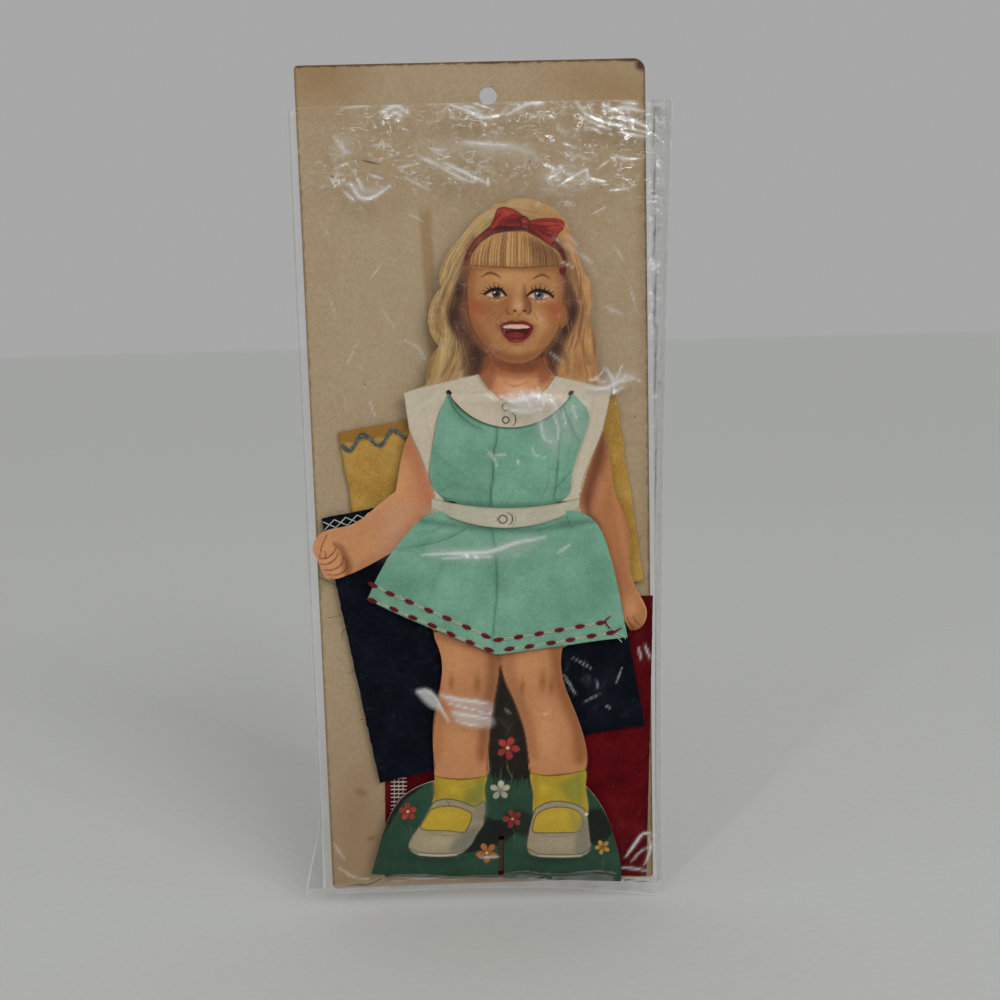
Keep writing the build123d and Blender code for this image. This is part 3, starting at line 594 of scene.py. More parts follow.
def paint_clothes(p):
    """White blouse front, collar and belt."""
    blouse = [(-37.6, 190.2), (-9.5, 196.9), (-6.6, 192.9), (-1.7, 188.2), (4.7, 186.1), (10, 186.7),
        (14.7, 190.9), (18.8, 196.4), (40.2, 191.6), (36.6, 176), (30.8, 160), (28.2, 149.5),
        (28.2, 141), (-26.6, 141), (-25.2, 150), (-31, 166), (-35.2, 175.4)]
    p.fill(blouse, BOARD_WHITE, smooth=False)
    p.shade([(-30, 141), (30, 141), (30, 147), (-30, 147)], (150, 140, 120), 2, 0.5, smooth=False)
    for u in (-30, -24, 26, 33):
        p.stroke([(u, 189), (u * 0.97, 180), (u * 0.86, 168), (u * 0.78, 156)], (158, 147, 126),
            1.2, 0.35)
    for neckline in ([(-9.5, 196.9), (-6.6, 192.9), (-1.7, 188.2), (0.8, 187.2)],
            [(1, 187), (4.7, 186.1), (10, 186.7), (14.7, 190.9), (18.8, 196.4)]):
        p.stroke(neckline, (95, 84, 70), 0.45)
    p.stroke([(-5.6, 191.9), (-0.8, 186.9), (4.7, 184.9), (10.6, 185.6), (15.8, 190.4)],
        (150, 138, 118), 0.5, 0.6)
    for side in ([(-37.2, 189.2), (-35.2, 176.2), (-31, 166), (-25.8, 151), (-27.2, 141)],
            [(39.6, 190.6), (36.6, 176), (30.4, 160), (28.2, 149), (28.2, 141)]):
        p.stroke(side, (110, 96, 78), 0.35, 0.8)
    p.stroke([(1.6, 187), (2.2, 182), (2.3, 177.6)], (140, 128, 110), 0.3, 0.6)
    # painted shade in the slit's ends at the collar's hooks, where the cloth goes under the collar
    for u, v, way, tone in ((24.6, 189.9, -0.8, (42, 48, 40)), (-20.8, 189.3, 0.7, (62, 92, 78))):
        p.stroke([(u - way, v + 0.9), (u, v), (u + way * 0.8, v - 1.6)], tone, 0.8, 0.9,
            taper=(0.7, 1, 0.8), soft=0.5)
    p.stroke([(1.5, 186.4), (0.2, 186.4), (-0.8, 185.5), (-0.7, 184.2), (0.4, 183.5), (1.5, 184.1)],
        (66, 58, 52), 0.42)
    p.stroke(circle(0.5, 180.1, 1.2, 1.2), (58, 52, 48), 0.46, taper=(1, 1))
    p.stroke([(2.9, 182.7), (4, 181.6), (4.2, 180.2), (3.9, 178.8), (3.1, 177.9)], (58, 52, 48),
        0.5, 0.95)
    where = np.where((p.at[:, 0] > -27) & (p.at[:, 0] < 28.4) & (p.at[:, 1] < 150.4)
        & (p.at[:, 1] > 138))[0]
    bow = belt_bow(p.at[where, 0])
    top, foot = 147.0 + TOP_RISE * bow, 139.6 + FOOT_RISE * bow
    belt = (p.at[where, 1] < top + 0.5) & (p.at[where, 1] > foot - 0.5)
    p.lay(where, belt * 1.0, (166, 161, 142))
    rim = np.minimum(abs(p.at[where, 1] - top), abs(p.at[where, 1] - foot))
    p.lay(where, np.clip(1 - rim / 0.5, 0, 1) * 0.55, (116, 110, 96))
    p.stroke(circle(-0.3, 142.9, 1.6, 1.5), (62, 56, 50), 0.46, taper=(1, 1))
    p.stroke([(-3, 143.9), (-2.4, 142.9), (-3, 142)], (104, 98, 88), 0.3)
    p.stroke([(1.4, 145.5), (3, 144.3), (3.3, 142.8), (2.9, 141.6), (1.9, 140.7)], (56, 50, 46), 0.5)
    p.stroke([(2.4, 146), (4.2, 144.5), (4.5, 142.8), (4, 141.2), (2.9, 140)], (112, 106, 94), 0.28, 0.8)


def paint_arms(p):
    left = [(-35.2, 175.2), (-31.5, 167), (-26, 151), (-27.5, 145), (-33, 141.5), (-41, 131.5),
        (-47, 122), (-60, 117), (-74, 116), (-76, 131), (-70, 142), (-56, 146), (-45, 152), (-42, 162)]
    right = [(36.8, 176.4), (30.6, 160), (28, 149), (30, 142), (37, 138.5), (41.5, 126), (45, 112),
        (43, 101), (47, 96), (58, 97), (60, 110), (52, 130), (48, 150), (42, 172)]
    p.fill(left, (176, 122, 84), smooth=False)
    p.fill(right, (152, 99, 63), smooth=False)
    # left arm: warm upper arm, red elbow, lighter forearm
    p.shade([(-35, 176), (-31, 166), (-26, 150), (-29, 148), (-34, 160), (-38, 170)], (158, 98, 68),
        2.4, 0.7)
    p.glow((-29.5, 152), (4.4, 5), (164, 102, 74), 0.5, 20)
    p.glow((-38, 158), (3.2, 8), (184, 130, 88), 0.7, -20)
    p.stroke([(-66, 138.6), (-57.5, 141), (-49.9, 146.3), (-41.4, 153.6), (-40.4, 162)], (190, 142, 96),
        2.0, 0.6, soft=1.6)
    p.shade([(-27, 147.4), (-34, 142.5), (-41, 135.5), (-46, 130.5), (-55, 125.5), (-58, 119),
        (-44, 120), (-33, 131), (-26, 141)], (150, 96, 62), 3.0, 0.6)
    p.glow((-55, 131), (8, 5), (182, 132, 86), 0.6, 30)
    # left fist
    p.glow((-65.5, 131), (6.5, 7), (184, 130, 88), 0.7)
    p.shade([(-63.6, 133.4), (-60.5, 132.2), (-58.2, 128.2), (-57, 124), (-58.6, 120.4), (-60.4, 124),
        (-61, 129)], (118, 66, 42), 1.5, 0.75)
    for knuckle, width in (([(-66.3, 136.6), (-68, 132.9), (-68.8, 130), (-69.1, 127.7)], 0.42),
            ([(-69.1, 127.7), (-66.4, 127.7), (-63.7, 130.2), (-63, 132.3), (-63.8, 133.2)], 0.5),
            ([(-67.4, 130.4), (-66.8, 129), (-66.9, 127.8)], 0.36),
            ([(-69.1, 125.4), (-65.7, 125.7), (-63, 127.8), (-62.2, 130.2)], 0.45),
            ([(-67.8, 123.3), (-64.4, 123.2), (-61.4, 125), (-60.3, 127.8), (-61, 129.9)], 0.45),
            ([(-66.5, 121.6), (-63.1, 121.2), (-59.7, 123), (-58.8, 125.7), (-59.6, 128.2)], 0.45),
            ([(-65.4, 120.2), (-62, 119.6), (-58.6, 121.4)], 0.4)):
        p.stroke(knuckle, (88, 46, 30), width, 0.85, taper=(0.6, 1, 0.5))
    for u, v in ((-66.6, 126.6), (-64.4, 124.4), (-63.4, 122.4)):
        p.glow((u, v), (2, 0.6), (194, 142, 100), 0.55, 25)
    # right arm and hand
    p.shade([(30, 149), (31.2, 158), (36.6, 175), (37.6, 166), (34.6, 154), (32.6, 146), (36, 140.6),
        (33, 139)], (92, 50, 34), 2.0, 0.85)
    p.glow((36.6, 154), (3, 7), (170, 112, 80), 0.7, -8)
    p.shade([(33, 143), (37.5, 139), (41.5, 127), (45.4, 112), (44, 104), (41, 112), (37, 130)],
        (116, 66, 42), 2.0, 0.7)
    p.stroke([(39.6, 168), (41.4, 155), (44.4, 140), (47.3, 124), (50.2, 114)], (176, 120, 78), 2.6,
        0.5, soft=2.2)
    p.stroke([(48.4, 121), (51.4, 114.6), (54.6, 107.4), (53.9, 103)], (196, 146, 104), 0.7,
        0.6, soft=0.6)
    p.glow((48.6, 109), (3.4, 5), (186, 130, 88), 0.75)
    for finger, share in (([(52.8, 101.6), (50.8, 103.4), (49.6, 105.6)], 0.85),
            ([(50.4, 100.6), (48.4, 102.8), (47.4, 105)], 0.85),
            ([(48.2, 100.3), (46.4, 102.6), (45.4, 105.2)], 0.8)):
        p.stroke(finger, (74, 38, 24), 0.45, share)
    p.glow((48.5, 100.6), (3.2, 1.4), (86, 46, 30), 0.6)


LEG_LEFT = [(-25.7, 99), (-24.7, 88), (-24, 77), (-26, 65), (-26.8, 55), (-25.9, 46.5), (-26.9, 42.6),
    (-16.2, 40.9), (-5.8, 42.1), (-5.2, 51.5), (-4.2, 63.8), (-2.3, 75.5), (-1.4, 83.5), (-1.9, 99)]
LEG_RIGHT = [(-1.6, 99), (0.3, 82), (4.6, 71.5), (8.2, 61.2), (9.9, 52), (11.2, 43.1), (17.7, 42.3),
    (26.7, 43.2), (32.4, 44.5), (32.9, 54.5), (30.6, 64.4), (25.2, 76.4), (23, 85), (22.9, 99)]
SOCK_LEFT = [(-26.9, 43), (-23.8, 41.7), (-16.2, 40.9), (-10, 41.4), (-5.8, 42.1), (-6.6, 37.2),
    (-6.9, 30), (-16, 27), (-26.4, 29.5), (-25.8, 36)]
SOCK_RIGHT = [(11.1, 43.3), (17.7, 42.3), (26.7, 43.2), (32.4, 44.4), (32.8, 37), (33.2, 26), (22, 28),
    (13, 26), (12.2, 35)]
SHOE_LEFT = [(-26.2, 31.8), (-21.7, 32.9), (-16.2, 32), (-10.6, 29.8), (-6.8, 31.7), (-6.3, 27.5),
    (-7, 22.5), (-9.9, 18.3), (-11.9, 14.4), (-14.9, 11), (-20.3, 9.4), (-28, 9.4), (-33.6, 10.4),
    (-36.2, 13.2), (-35.2, 17), (-32, 22), (-28.6, 28)]
SHOE_RIGHT = [(13.2, 28.8), (17.9, 31.3), (22.7, 31.8), (28.3, 30.6), (33, 27.5), (34.2, 20.3),
    (35.1, 13.5), (33.2, 9.9), (27.2, 8.8), (17.4, 9), (11.7, 9.9), (10, 13.6), (10.9, 20.4), (12.2, 26)]
WINDOW_LEFT = [(-27.4, 28.7), (-23.1, 29.9), (-18.2, 29.8), (-13.4, 28.1), (-11.5, 25.9), (-13.4, 20.7),
    (-15, 19.2), (-20.3, 19.9), (-27.3, 20.1), (-31.2, 20.9), (-31, 22.9)]
WINDOW_RIGHT = [(13.4, 25.9), (16.5, 28.4), (22.1, 29.5), (27.6, 28.7), (31.1, 26.2), (31.8, 21.8),
    (29.5, 19.3), (24.3, 19), (17.3, 18.9), (12.4, 19.5), (12.6, 23.3)]


def flower(p, u, v, size, colour, heart, seed):
    """A common five-petalled flower with separate rounded petals, a little uneven."""
    rng = random.Random(seed)
    start = rng.uniform(0, 72)
    for k in range(5):
        a = math.radians(start + 360 / 5 * k + rng.uniform(-5, 5))
        r = size * rng.uniform(0.92, 1.06)
        out, n = (math.cos(a), math.sin(a)), (-math.sin(a), math.cos(a))
        leaf = [(u + out[0] * r * d + n[0] * size * w, v + out[1] * r * d + n[1] * size * w) for d,
            w in ((0.12, 0), (0.45, 0.24), (0.80, 0.27), (1, 0.08), (0.98, -0.12),
            (0.74, -0.28), (0.42, -0.22))]
        tint = rng.uniform(0.88, 1.1)
        p.fill(leaf, [c * tint for c in colour])
        p.stroke([(u, v), (u + 0.5 * r * out[0], v + 0.5 * r * out[1])], [c * 0.5 for c in colour],
            0.3, 0.6)
        p.stroke(leaf[1:5], [min(255, c * 1.15 + 34) for c in colour], 0.24, 0.5)
    p.fill(diamond(u, v, 0.16 * size), heart)


def paint_legs_and_base(p):
    rng = random.Random(31)
    below_dress = np.where(p.at[:, 1] < 100)[0]
    p.lay(below_dress, np.ones(len(below_dress)), (22, 17, 12))
    mound = [(-60, -10), (-52, 2), (-46.5, 17), (-38, 32), (-27, 41), (-8, 43), (2, 40.5), (12, 41),
        (34, 39), (41, 27), (46, 12), (49, -10)]
    p.fill(mound, (31, 58, 43), 0.6, smooth=False)
    ground = np.where(p.at[:, 1] < 44)[0]
    p.mottle(ground, 9.0, 0.16, 5)
    for _ in range(150):
        u, v = rng.uniform(-50, 46), rng.uniform(0, 41)
        lean = rng.uniform(-1.6, 1.6)
        tint = rng.choice([(54, 80, 60), (30, 50, 38), (60, 80, 56), (48, 76, 62), (28, 46, 36)])
        p.stroke([(u, v), (u + lean * 0.4, v + 1.8), (u + lean, v + rng.uniform(2.6, 4.6))], tint, 0.5,
            rng.uniform(0.15, 0.45), taper=(1, 0.8, 0.2))
    for u, v, top in ((-4.8, 40, 48.4), (-2.9, 40, 44.4), (-0.6, 40, 47.2), (1.6, 40, 43.4),
            (3.6, 39, 44.4), (6, 39, 41.6), (7.6, 39, 43.0), (9.6, 38, 41.5), (-4, 38, 42.5),
            (5.0, 37, 41), (0.6, 37, 41.5)):
        p.stroke([(u - 0.4, v - 4), (u, v), (u + 0.5, top)], (38, 62, 46), 1.3, 0.95, taper=(1, 0.8, 0.1))
        p.stroke([(u + 1.3, 47 + top * 0.04), (u + 1.1, top - 1), (u + 1.0, v - 1)], (20, 16, 12), 0.9,
            0.9, taper=(1, 0.8, 0.1))
    # dark leaves and a pale stem between the legs
    p.glow((2, 60), (4, 12), (36, 30, 22), 0.7)
    p.stroke([(2.2, 50.6), (2, 46.5), (2.9, 43.6), (4.2, 41.4)], (120, 122, 84), 0.4, 0.8)
    for a, b in (((-2.4, 66), (3, 60)), ((4.6, 64), (1.4, 58)), ((-3, 57), (1, 54)),
            ((7, 57), (3.6, 54))):
        p.stroke([a, ((a[0] + b[0]) / 2, (a[1] + b[1]) / 2 + 0.8), b], (58, 52, 34), 1.1, 0.5)
    # soft shadows on the grass
    p.shade([(-10, 16), (-6, 22), (1, 23.5), (4, 20), (-2, 16), (-13, 12.5)], (16, 20, 17), 1.6, 0.8)
    p.shade([(2, 27.5), (7.5, 28), (12.4, 25.5), (11, 18.9), (6.9, 18.2), (2.6, 21.9)],
        (18, 22, 18), 1.6, 0.75)
    p.shade([(33, 27), (38.1, 28.3), (41.7, 24.7), (42.5, 18.8), (38.3, 16.6), (34.4, 17)],
        (16, 20, 17), 1.6, 0.8)
    p.shade([(-36, 9), (-20, 8.4), (-10, 10.4), (-16, 7.4), (-30, 7)], (24, 40, 32), 1.0, 0.4)
    p.shade([(11, 9.6), (22, 8.8), (34, 9.4), (30, 6.8), (14, 6.8)], (24, 40, 32), 1.0, 0.4)

    # legs
    for leg in (LEG_LEFT, LEG_RIGHT):
        p.fill(leg, (168, 115, 76), 0.35)
    p.shade([(-25, 99), (-25, 80), (-22.5, 70), (-23.5, 50), (-29, 45), (-29, 99)], (152, 98, 60),
        1.6, 0.6)
    p.shade([(-1, 99), (-1.5, 82), (-4.5, 66), (-6, 50), (-9.5, 50), (-8, 66), (-6, 82), (-6, 99)],
        (118, 72, 44), 2.0, 0.75)
    p.shade([(-2, 99), (0.5, 83), (5, 71), (8.6, 60), (10.5, 50), (14, 50), (12.5, 62), (8, 74), (5, 84),
        (4, 99)], (136, 86, 54), 1.5, 0.55)
    p.shade([(23.5, 99), (23.2, 84), (26, 75), (31, 63), (33, 50), (28.6, 48), (26.4, 62), (20.6, 76),
        (18.6, 86), (18, 99)], (126, 76, 43), 2.4, 0.85)
    p.glow((-17.5, 64), (4.6, 14), (180, 130, 88), 0.4)
    p.glow((-17.5, 88), (5, 6), (186, 134, 90), 0.5)
    p.glow((17, 62), (4, 13), (184, 132, 92), 0.6, 8)
    p.glow((9.5, 86), (6, 6), (182, 130, 88), 0.5)
    # painted shadow of the dress's hem over the top of the legs
    p.shade([(-25, 101), (23, 101), (23, 94), (-2, 89), (-25, 97)], (110, 68, 44), 2.0, 0.6, smooth=False)
    for u, v, wide, high in ((-19.6, 79.4, 0.9, 2.6), (-9.6, 78.6, 1.4, 3.4), (7.6, 77.4, 1.0, 3.0),
            (15.4, 79.8, 1.5, 4.4), (18.8, 77.6, 1.2, 3.6)):
        p.glow((u, v), (wide, high), (124, 76, 42), 0.7)
    for outer in ([(-25.6, 96), (-24.2, 86), (-23.9, 77), (-25.9, 65), (-26.7, 55), (-25.8, 44)],
            [(23, 96), (23.2, 84.5), (25.6, 76), (30.8, 64), (33, 54), (32.6, 44.6)]):
        p.stroke(outer, (90, 52, 30), 0.4, 0.7)
    for inner in ([(-1.9, 92), (-1.4, 83.5), (-2.6, 75), (-4.3, 63.8), (-5.4, 51.5), (-5.8, 42.4)],
            [(-1.4, 92), (0.4, 82), (4.7, 71.5), (8.3, 61.2), (10, 52), (11.2, 43.4)]):
        p.stroke(inner, (60, 34, 22), 0.45, 0.8)

    # socks
    for sock in (SOCK_LEFT, SOCK_RIGHT):
        p.fill(sock, (156, 131, 38), 0.35)
    p.shade([(-26.4, 41), (-24.6, 40.6), (-24.2, 33), (-26.4, 33)], (134, 108, 40), 1.2, 0.7)
    p.shade([(-12.6, 37), (-7.2, 41), (-7.4, 32), (-14.4, 31)], (104, 108, 50), 2.0, 0.75)
    p.shade([(22.8, 38), (27, 41), (31.4, 42.5), (31.4, 29), (27.6, 31)], (112, 116, 46), 2.0, 0.75)
    p.shade([(12.4, 42), (13.6, 42), (13.8, 31), (12.6, 31)], (138, 112, 40), 1.0, 0.6)
    for u, v, tone in ((-18.6, 37, (184, 160, 50)), (-11, 38, (150, 136, 48)),
            (16.6, 37, (186, 162, 48)), (21, 34, (150, 138, 46)), (27, 37, (128, 126, 46))):
        p.glow((u, v), (2, 1.8), tone, 0.6)
    for line in ([(-27, 42.9), (-23.8, 41.6), (-16.2, 40.8), (-10, 41.3), (-5.6, 42.1)],
            [(11, 43.3), (17.7, 42.2), (26.7, 43.1), (32.6, 44.4)]):
        p.stroke(line, (92, 56, 26), 0.6, 0.85)

    # shoes
    for shoe, window in ((SHOE_LEFT, WINDOW_LEFT), (SHOE_RIGHT, WINDOW_RIGHT)):
        p.fill(shoe, (136, 124, 101), 0.35)
        p.outline(shoe, (58, 56, 50), 0.4, 0.85)
        p.fill(window, (164, 136, 42), 0.35)
        p.outline(window, (66, 60, 44), 0.42, 0.85)
    p.glow((-21, 25.6), (5, 2), (178, 150, 52), 0.6)
    p.glow((22, 25.6), (6, 2.2), (172, 146, 56), 0.6)
    p.shade([(26.6, 27.6), (31.6, 25), (31.6, 20), (27.4, 20)], (132, 122, 56), 1.6, 0.6)
    p.glow((-24, 15.6), (8, 3.2), (156, 142, 114), 0.6)
    p.glow((21.5, 14.8), (8, 3), (154, 140, 114), 0.6)
    p.shade([(-16, 18), (-9, 22), (-9.4, 18.6), (-14, 12.6), (-20, 12)], (100, 96, 84), 1.8, 0.75)
    p.shade([(31, 24), (33.6, 22), (34.2, 12), (29, 11)], (106, 102, 90), 1.8, 0.7)
    p.fill([(-6.9, 26), (-6.7, 22.4), (-9.6, 18.1), (-11.6, 14.2), (-14.6, 10.8), (-6, 12.4),
        (1.4, 15.4), (6, 20.4), (2.6, 24.4), (-2.6, 24.2)], (15, 19, 16), 0.9, 0.82)
    p.fill([(34.2, 26.6), (34.5, 20.3), (35.4, 14.4), (40.6, 15.6), (43.4, 19.4), (42.6, 24.4),
        (38.6, 28.4)], (15, 19, 16), 0.9, 0.78)
    p.stroke([(-7, 22.5), (-9.9, 18.3), (-11.9, 14.4), (-14.9, 11)], (124, 116, 96), 0.4, 0.8)
    p.shade([(-10, 30), (-6, 32), (-6.4, 24), (-10, 25)], (112, 108, 92), 1.4, 0.6)
    for line in ([(-36, 12.9), (-32.1, 11.2), (-25.2, 10.7), (-17.5, 11), (-13.6, 12.9)],
            [(10.2, 12.6), (14.6, 10.4), (23.7, 10.1), (31.4, 10.4), (34.8, 13)]):
        p.stroke(line, (84, 78, 68), 0.4, 0.8, taper=(1, 1))
        p.stroke([(u, v - 1.0) for u, v in line[1:-1]], (188, 176, 150), 0.7, 0.6, taper=(1, 1))
    p.stroke([(-21.5, 32.6), (-20.6, 31.2), (-20.2, 29.8)], (60, 54, 46), 0.4, 0.7)
    for toe_line in ([(-31.4, 21.2), (-26, 18.6), (-19, 18), (-13.6, 19.2)],
            [(12, 19.4), (18, 17.6), (26, 17.7), (31.6, 19.6)]):
        p.stroke(toe_line, (96, 88, 76), 0.35, 0.6)
    buckle = [(32, 26.4), (33, 27.5), (34, 26.6), (33, 25.4)]
    p.fill(buckle, (182, 170, 146))
    p.stroke(buckle + buckle[:1], (60, 54, 46), 0.3)

    # flowers
    for place in ((-36.4, 27.8, 3.5, (150, 44, 36), (206, 184, 150), 3),
            (-0.5, 36.4, 4.0, (150, 146, 130), (126, 112, 78), 8),
            (4.3, 24.7, 3.7, (122, 40, 36), (176, 130, 96), 12),
            (2.2, 53.4, 4.3, (146, 46, 40), (206, 184, 150), 20),
            (-5.6, 10.8, 4.0, (160, 92, 44), (196, 156, 90), 27),
            (39.6, 13.0, 2.8, (158, 116, 44), (120, 62, 34), 33)):
        flower(p, *place)
    for stem in ([(-36, 24.6), (-35.2, 20), (-34.6, 16)], [(4.6, 21.4), (5.2, 17), (5, 12)],
            [(39.8, 10.4), (40, 6), (39.6, 2)]):
        p.stroke(stem, (66, 84, 56), 0.45, 0.7)


FACE = [(-13.6, 234), (-13.8, 226.9), (-13.2, 221.3), (-12.5, 217.6), (-11.1, 213), (-6.8, 206.5),
    (-1.1, 202.3), (4.5, 201.2), (10.2, 202.4), (15.3, 206.7), (19, 212.3), (20.8, 218.3), (21.4, 227),
    (21.2, 234), (18, 240), (4, 243), (-10, 240)]


def paint_neck(p):
    p.fill([(-8.2, 210), (-6.2, 204), (-6.2, 201), (-9, 196.8), (-6.6, 192.7), (-1.7, 188.2),
        (4.7, 186.1), (10, 186.7), (14.7, 190.9), (18.6, 196.4), (16, 199.5), (14.2, 204), (16, 212)],
        (176, 120, 82), 0.35, smooth=False)
    p.shade([(-6, 198.5), (0, 196), (5, 195.4), (11, 196.4), (16, 199), (14, 203), (-5.6, 204)],
        (128, 72, 44), 1.8, 0.7)
    p.fill([(-6.2, 209), (-6.1, 204.6), (-5.4, 203.8), (-1.7, 200.8), (4.2, 198.9), (10.1, 199),
        (13.4, 200.9), (14.4, 203.4), (15, 209)], (84, 42, 26), 0.8, 1.0, smooth=False)
    p.fill([(-5.8, 203.8), (-4.6, 200.6), (-1, 198.6), (4.2, 197.4), (9.8, 197.6), (13.4, 199.6),
        (14.2, 203)], (112, 62, 38), 1.2, 0.85, smooth=False)
    p.stroke([(-6.4, 204.7), (-6, 200.8), (-8.6, 196.6)], (66, 36, 26), 0.8, 0.8, soft=0.7)
    p.stroke([(14, 204.8), (14.2, 200.4), (17.4, 196.8)], (72, 38, 26), 0.8, 0.8, soft=0.7)
    p.shade([(-7.6, 202), (-9.5, 196.6), (-5.4, 191), (-3.4, 196), (-4, 201)], (122, 70, 42), 1.4, 0.7)
    p.shade([(14.6, 203), (12.2, 199), (13, 194), (17.5, 195.8)], (118, 66, 40), 1.4, 0.7)
    p.glow((4.6, 191.6), (5.6, 3.4), (208, 157, 120), 0.8)
    p.stroke([(-0.6, 194.4), (3.6, 192.6), (8.6, 194.2)], (132, 80, 50), 0.7, 0.5, soft=0.6)


def paint_face(p):
    p.fill(FACE, (157, 109, 65), 0.4)
    p.shade([(-14, 219), (-12, 211), (-6.8, 206), (0, 202), (4, 204), (-3, 208), (-8, 214), (-10, 221)],
        (140, 94, 54), 2.6, 0.6)
    # broad light and shade
    p.glow((2, 231.6), (10.5, 4.6), (176, 130, 84), 0.8)
    p.glow((-6, 218.6), (5.4, 5.4), (142, 90, 52), 0.6)
    p.glow((0.6, 226.5), (3.6, 3), (140, 92, 56), 0.45)
    p.glow((12, 217.6), (4.6, 4.2), (184, 138, 98), 0.75)
    p.glow((3.8, 209), (7, 3.6), (160, 112, 70), 0.5)
    p.glow((14, 224), (4, 2.2), (178, 130, 92), 0.5)
    p.shade([(7, 229.6), (8.2, 226), (9.4, 222.4), (8.6, 219), (7.2, 221), (6.6, 225)],
        (110, 66, 42), 0.9, 0.75)
    p.shade([(-14, 236), (-14.4, 222), (-12, 212), (-7.2, 206), (-5, 208.4), (-8.8, 214), (-11, 222),
        (-11.4, 236)], (126, 78, 48), 2.0, 0.75)
    p.shade([(21.6, 236), (21.8, 222), (19.4, 212), (15.4, 206.2), (12.6, 208.4), (16.4, 214),
        (18.8, 222), (19.2, 236)], (130, 84, 52), 2.0, 0.7)
    p.shade([(-6.6, 206.4), (-1, 202.4), (4.5, 201.3), (10.2, 202.5), (15, 206.8), (10, 205.3),
        (4.4, 204), (-1.4, 205.3)], (122, 74, 46), 1.2, 0.75)
    p.shade([(-13, 238), (4, 237), (21, 238), (21, 234), (12, 234.4), (4, 234.6), (-6, 234.8),
        (-13, 234)], (128, 80, 48), 1.2, 0.6)
    for u, v, wide, high in ((-6.4, 221.6, 6.4, 2.4), (15.6, 221.8, 4.4, 2.0), (1.0, 221.8, 1.8, 2.6),
            (8.3, 222.2, 1.5, 2.8)):
        p.glow((u, v), (wide, high), (128, 76, 46), 0.42)
    p.glow((-10.8, 221.3), (3.4, 2.6), (146, 74, 48), 0.85)
    p.glow((-10.2, 218.4), (4, 2.8), (150, 88, 58), 0.45)
    p.glow((18.3, 220.4), (2.8, 3.2), (146, 74, 48), 0.85)
    p.glow((17.4, 217.6), (3.4, 2.8), (152, 90, 60), 0.45)
    p.stroke([(-12.6, 236), (-13.9, 230.4), (-14, 223), (-13, 216.6), (-10.4, 210.8), (-6.4, 206.2)],
        (84, 48, 32), 0.7, 0.8, soft=0.7)
    p.stroke([(20.4, 236), (21.3, 228), (21, 219), (19.2, 212.4), (15.4, 206.8), (12.6, 204)],
        (96, 54, 34), 0.6, 0.7, soft=0.6)
    # ear
    p.fill([(21.1, 222), (22.7, 220.7), (23.4, 217.9), (22.7, 215.6), (20.9, 214.2), (20.2, 217)],
        (140, 88, 54), 0.4)
    p.stroke([(21.4, 221.4), (22.6, 220), (22.9, 217.9), (22.2, 216.2), (21.2, 215.3)],
        (92, 50, 30), 0.45, 0.8)
    p.stroke([(21, 220), (21.9, 218.6), (21.4, 216.8)], (98, 56, 34), 0.4, 0.7)

    # nose
    p.shade([(7.2, 226), (8.6, 223.4), (9.2, 220.6), (8.4, 219.2), (7, 220.6), (6.6, 223.4)],
        (124, 76, 48), 0.9, 0.7)
    p.shade([(1.8, 226), (0.6, 222.8), (0.4, 219.8), (1.6, 219.4), (2.2, 222.2), (2.6, 225)],
        (142, 92, 60), 0.8, 0.5)
    p.glow((4.7, 221.9), (2, 1.9), (196, 150, 118), 0.75)
    p.glow((4.6, 226), (1.3, 3.6), (182, 134, 94), 0.5)
    p.stroke([(7.4, 226.4), (8.8, 223.6), (9.6, 221.2), (9.2, 219.6)], (104, 60, 40), 0.9, 0.6, soft=0.8)
    p.glow((-0.4, 223.4), (1.6, 2.6), (136, 86, 54), 0.5)
    p.stroke([(0.7, 221.2), (0.6, 219.9), (1.6, 218.9), (2.6, 219.3)], (96, 54, 34), 0.45, 0.8)
    p.stroke([(8.9, 221.6), (9.5, 220.4), (8.8, 219.2), (7.9, 219.3)], (86, 46, 30), 0.5, 0.85)
    for nostril in ([(3, 219.9), (3.6, 220.3), (4.2, 219.9)], [(6.5, 219.8), (7.1, 220.3), (7.8, 219.9)]):
        p.stroke(nostril, (58, 26, 20), 0.75, 0.95)
    p.stroke([(4.2, 219.4), (5.3, 218.9), (6.4, 219.4)], (112, 64, 44), 0.4, 0.7)
    p.stroke([(4.8, 218.4), (4.9, 217.2)], (132, 82, 56), 1.0, 0.5, soft=0.7)

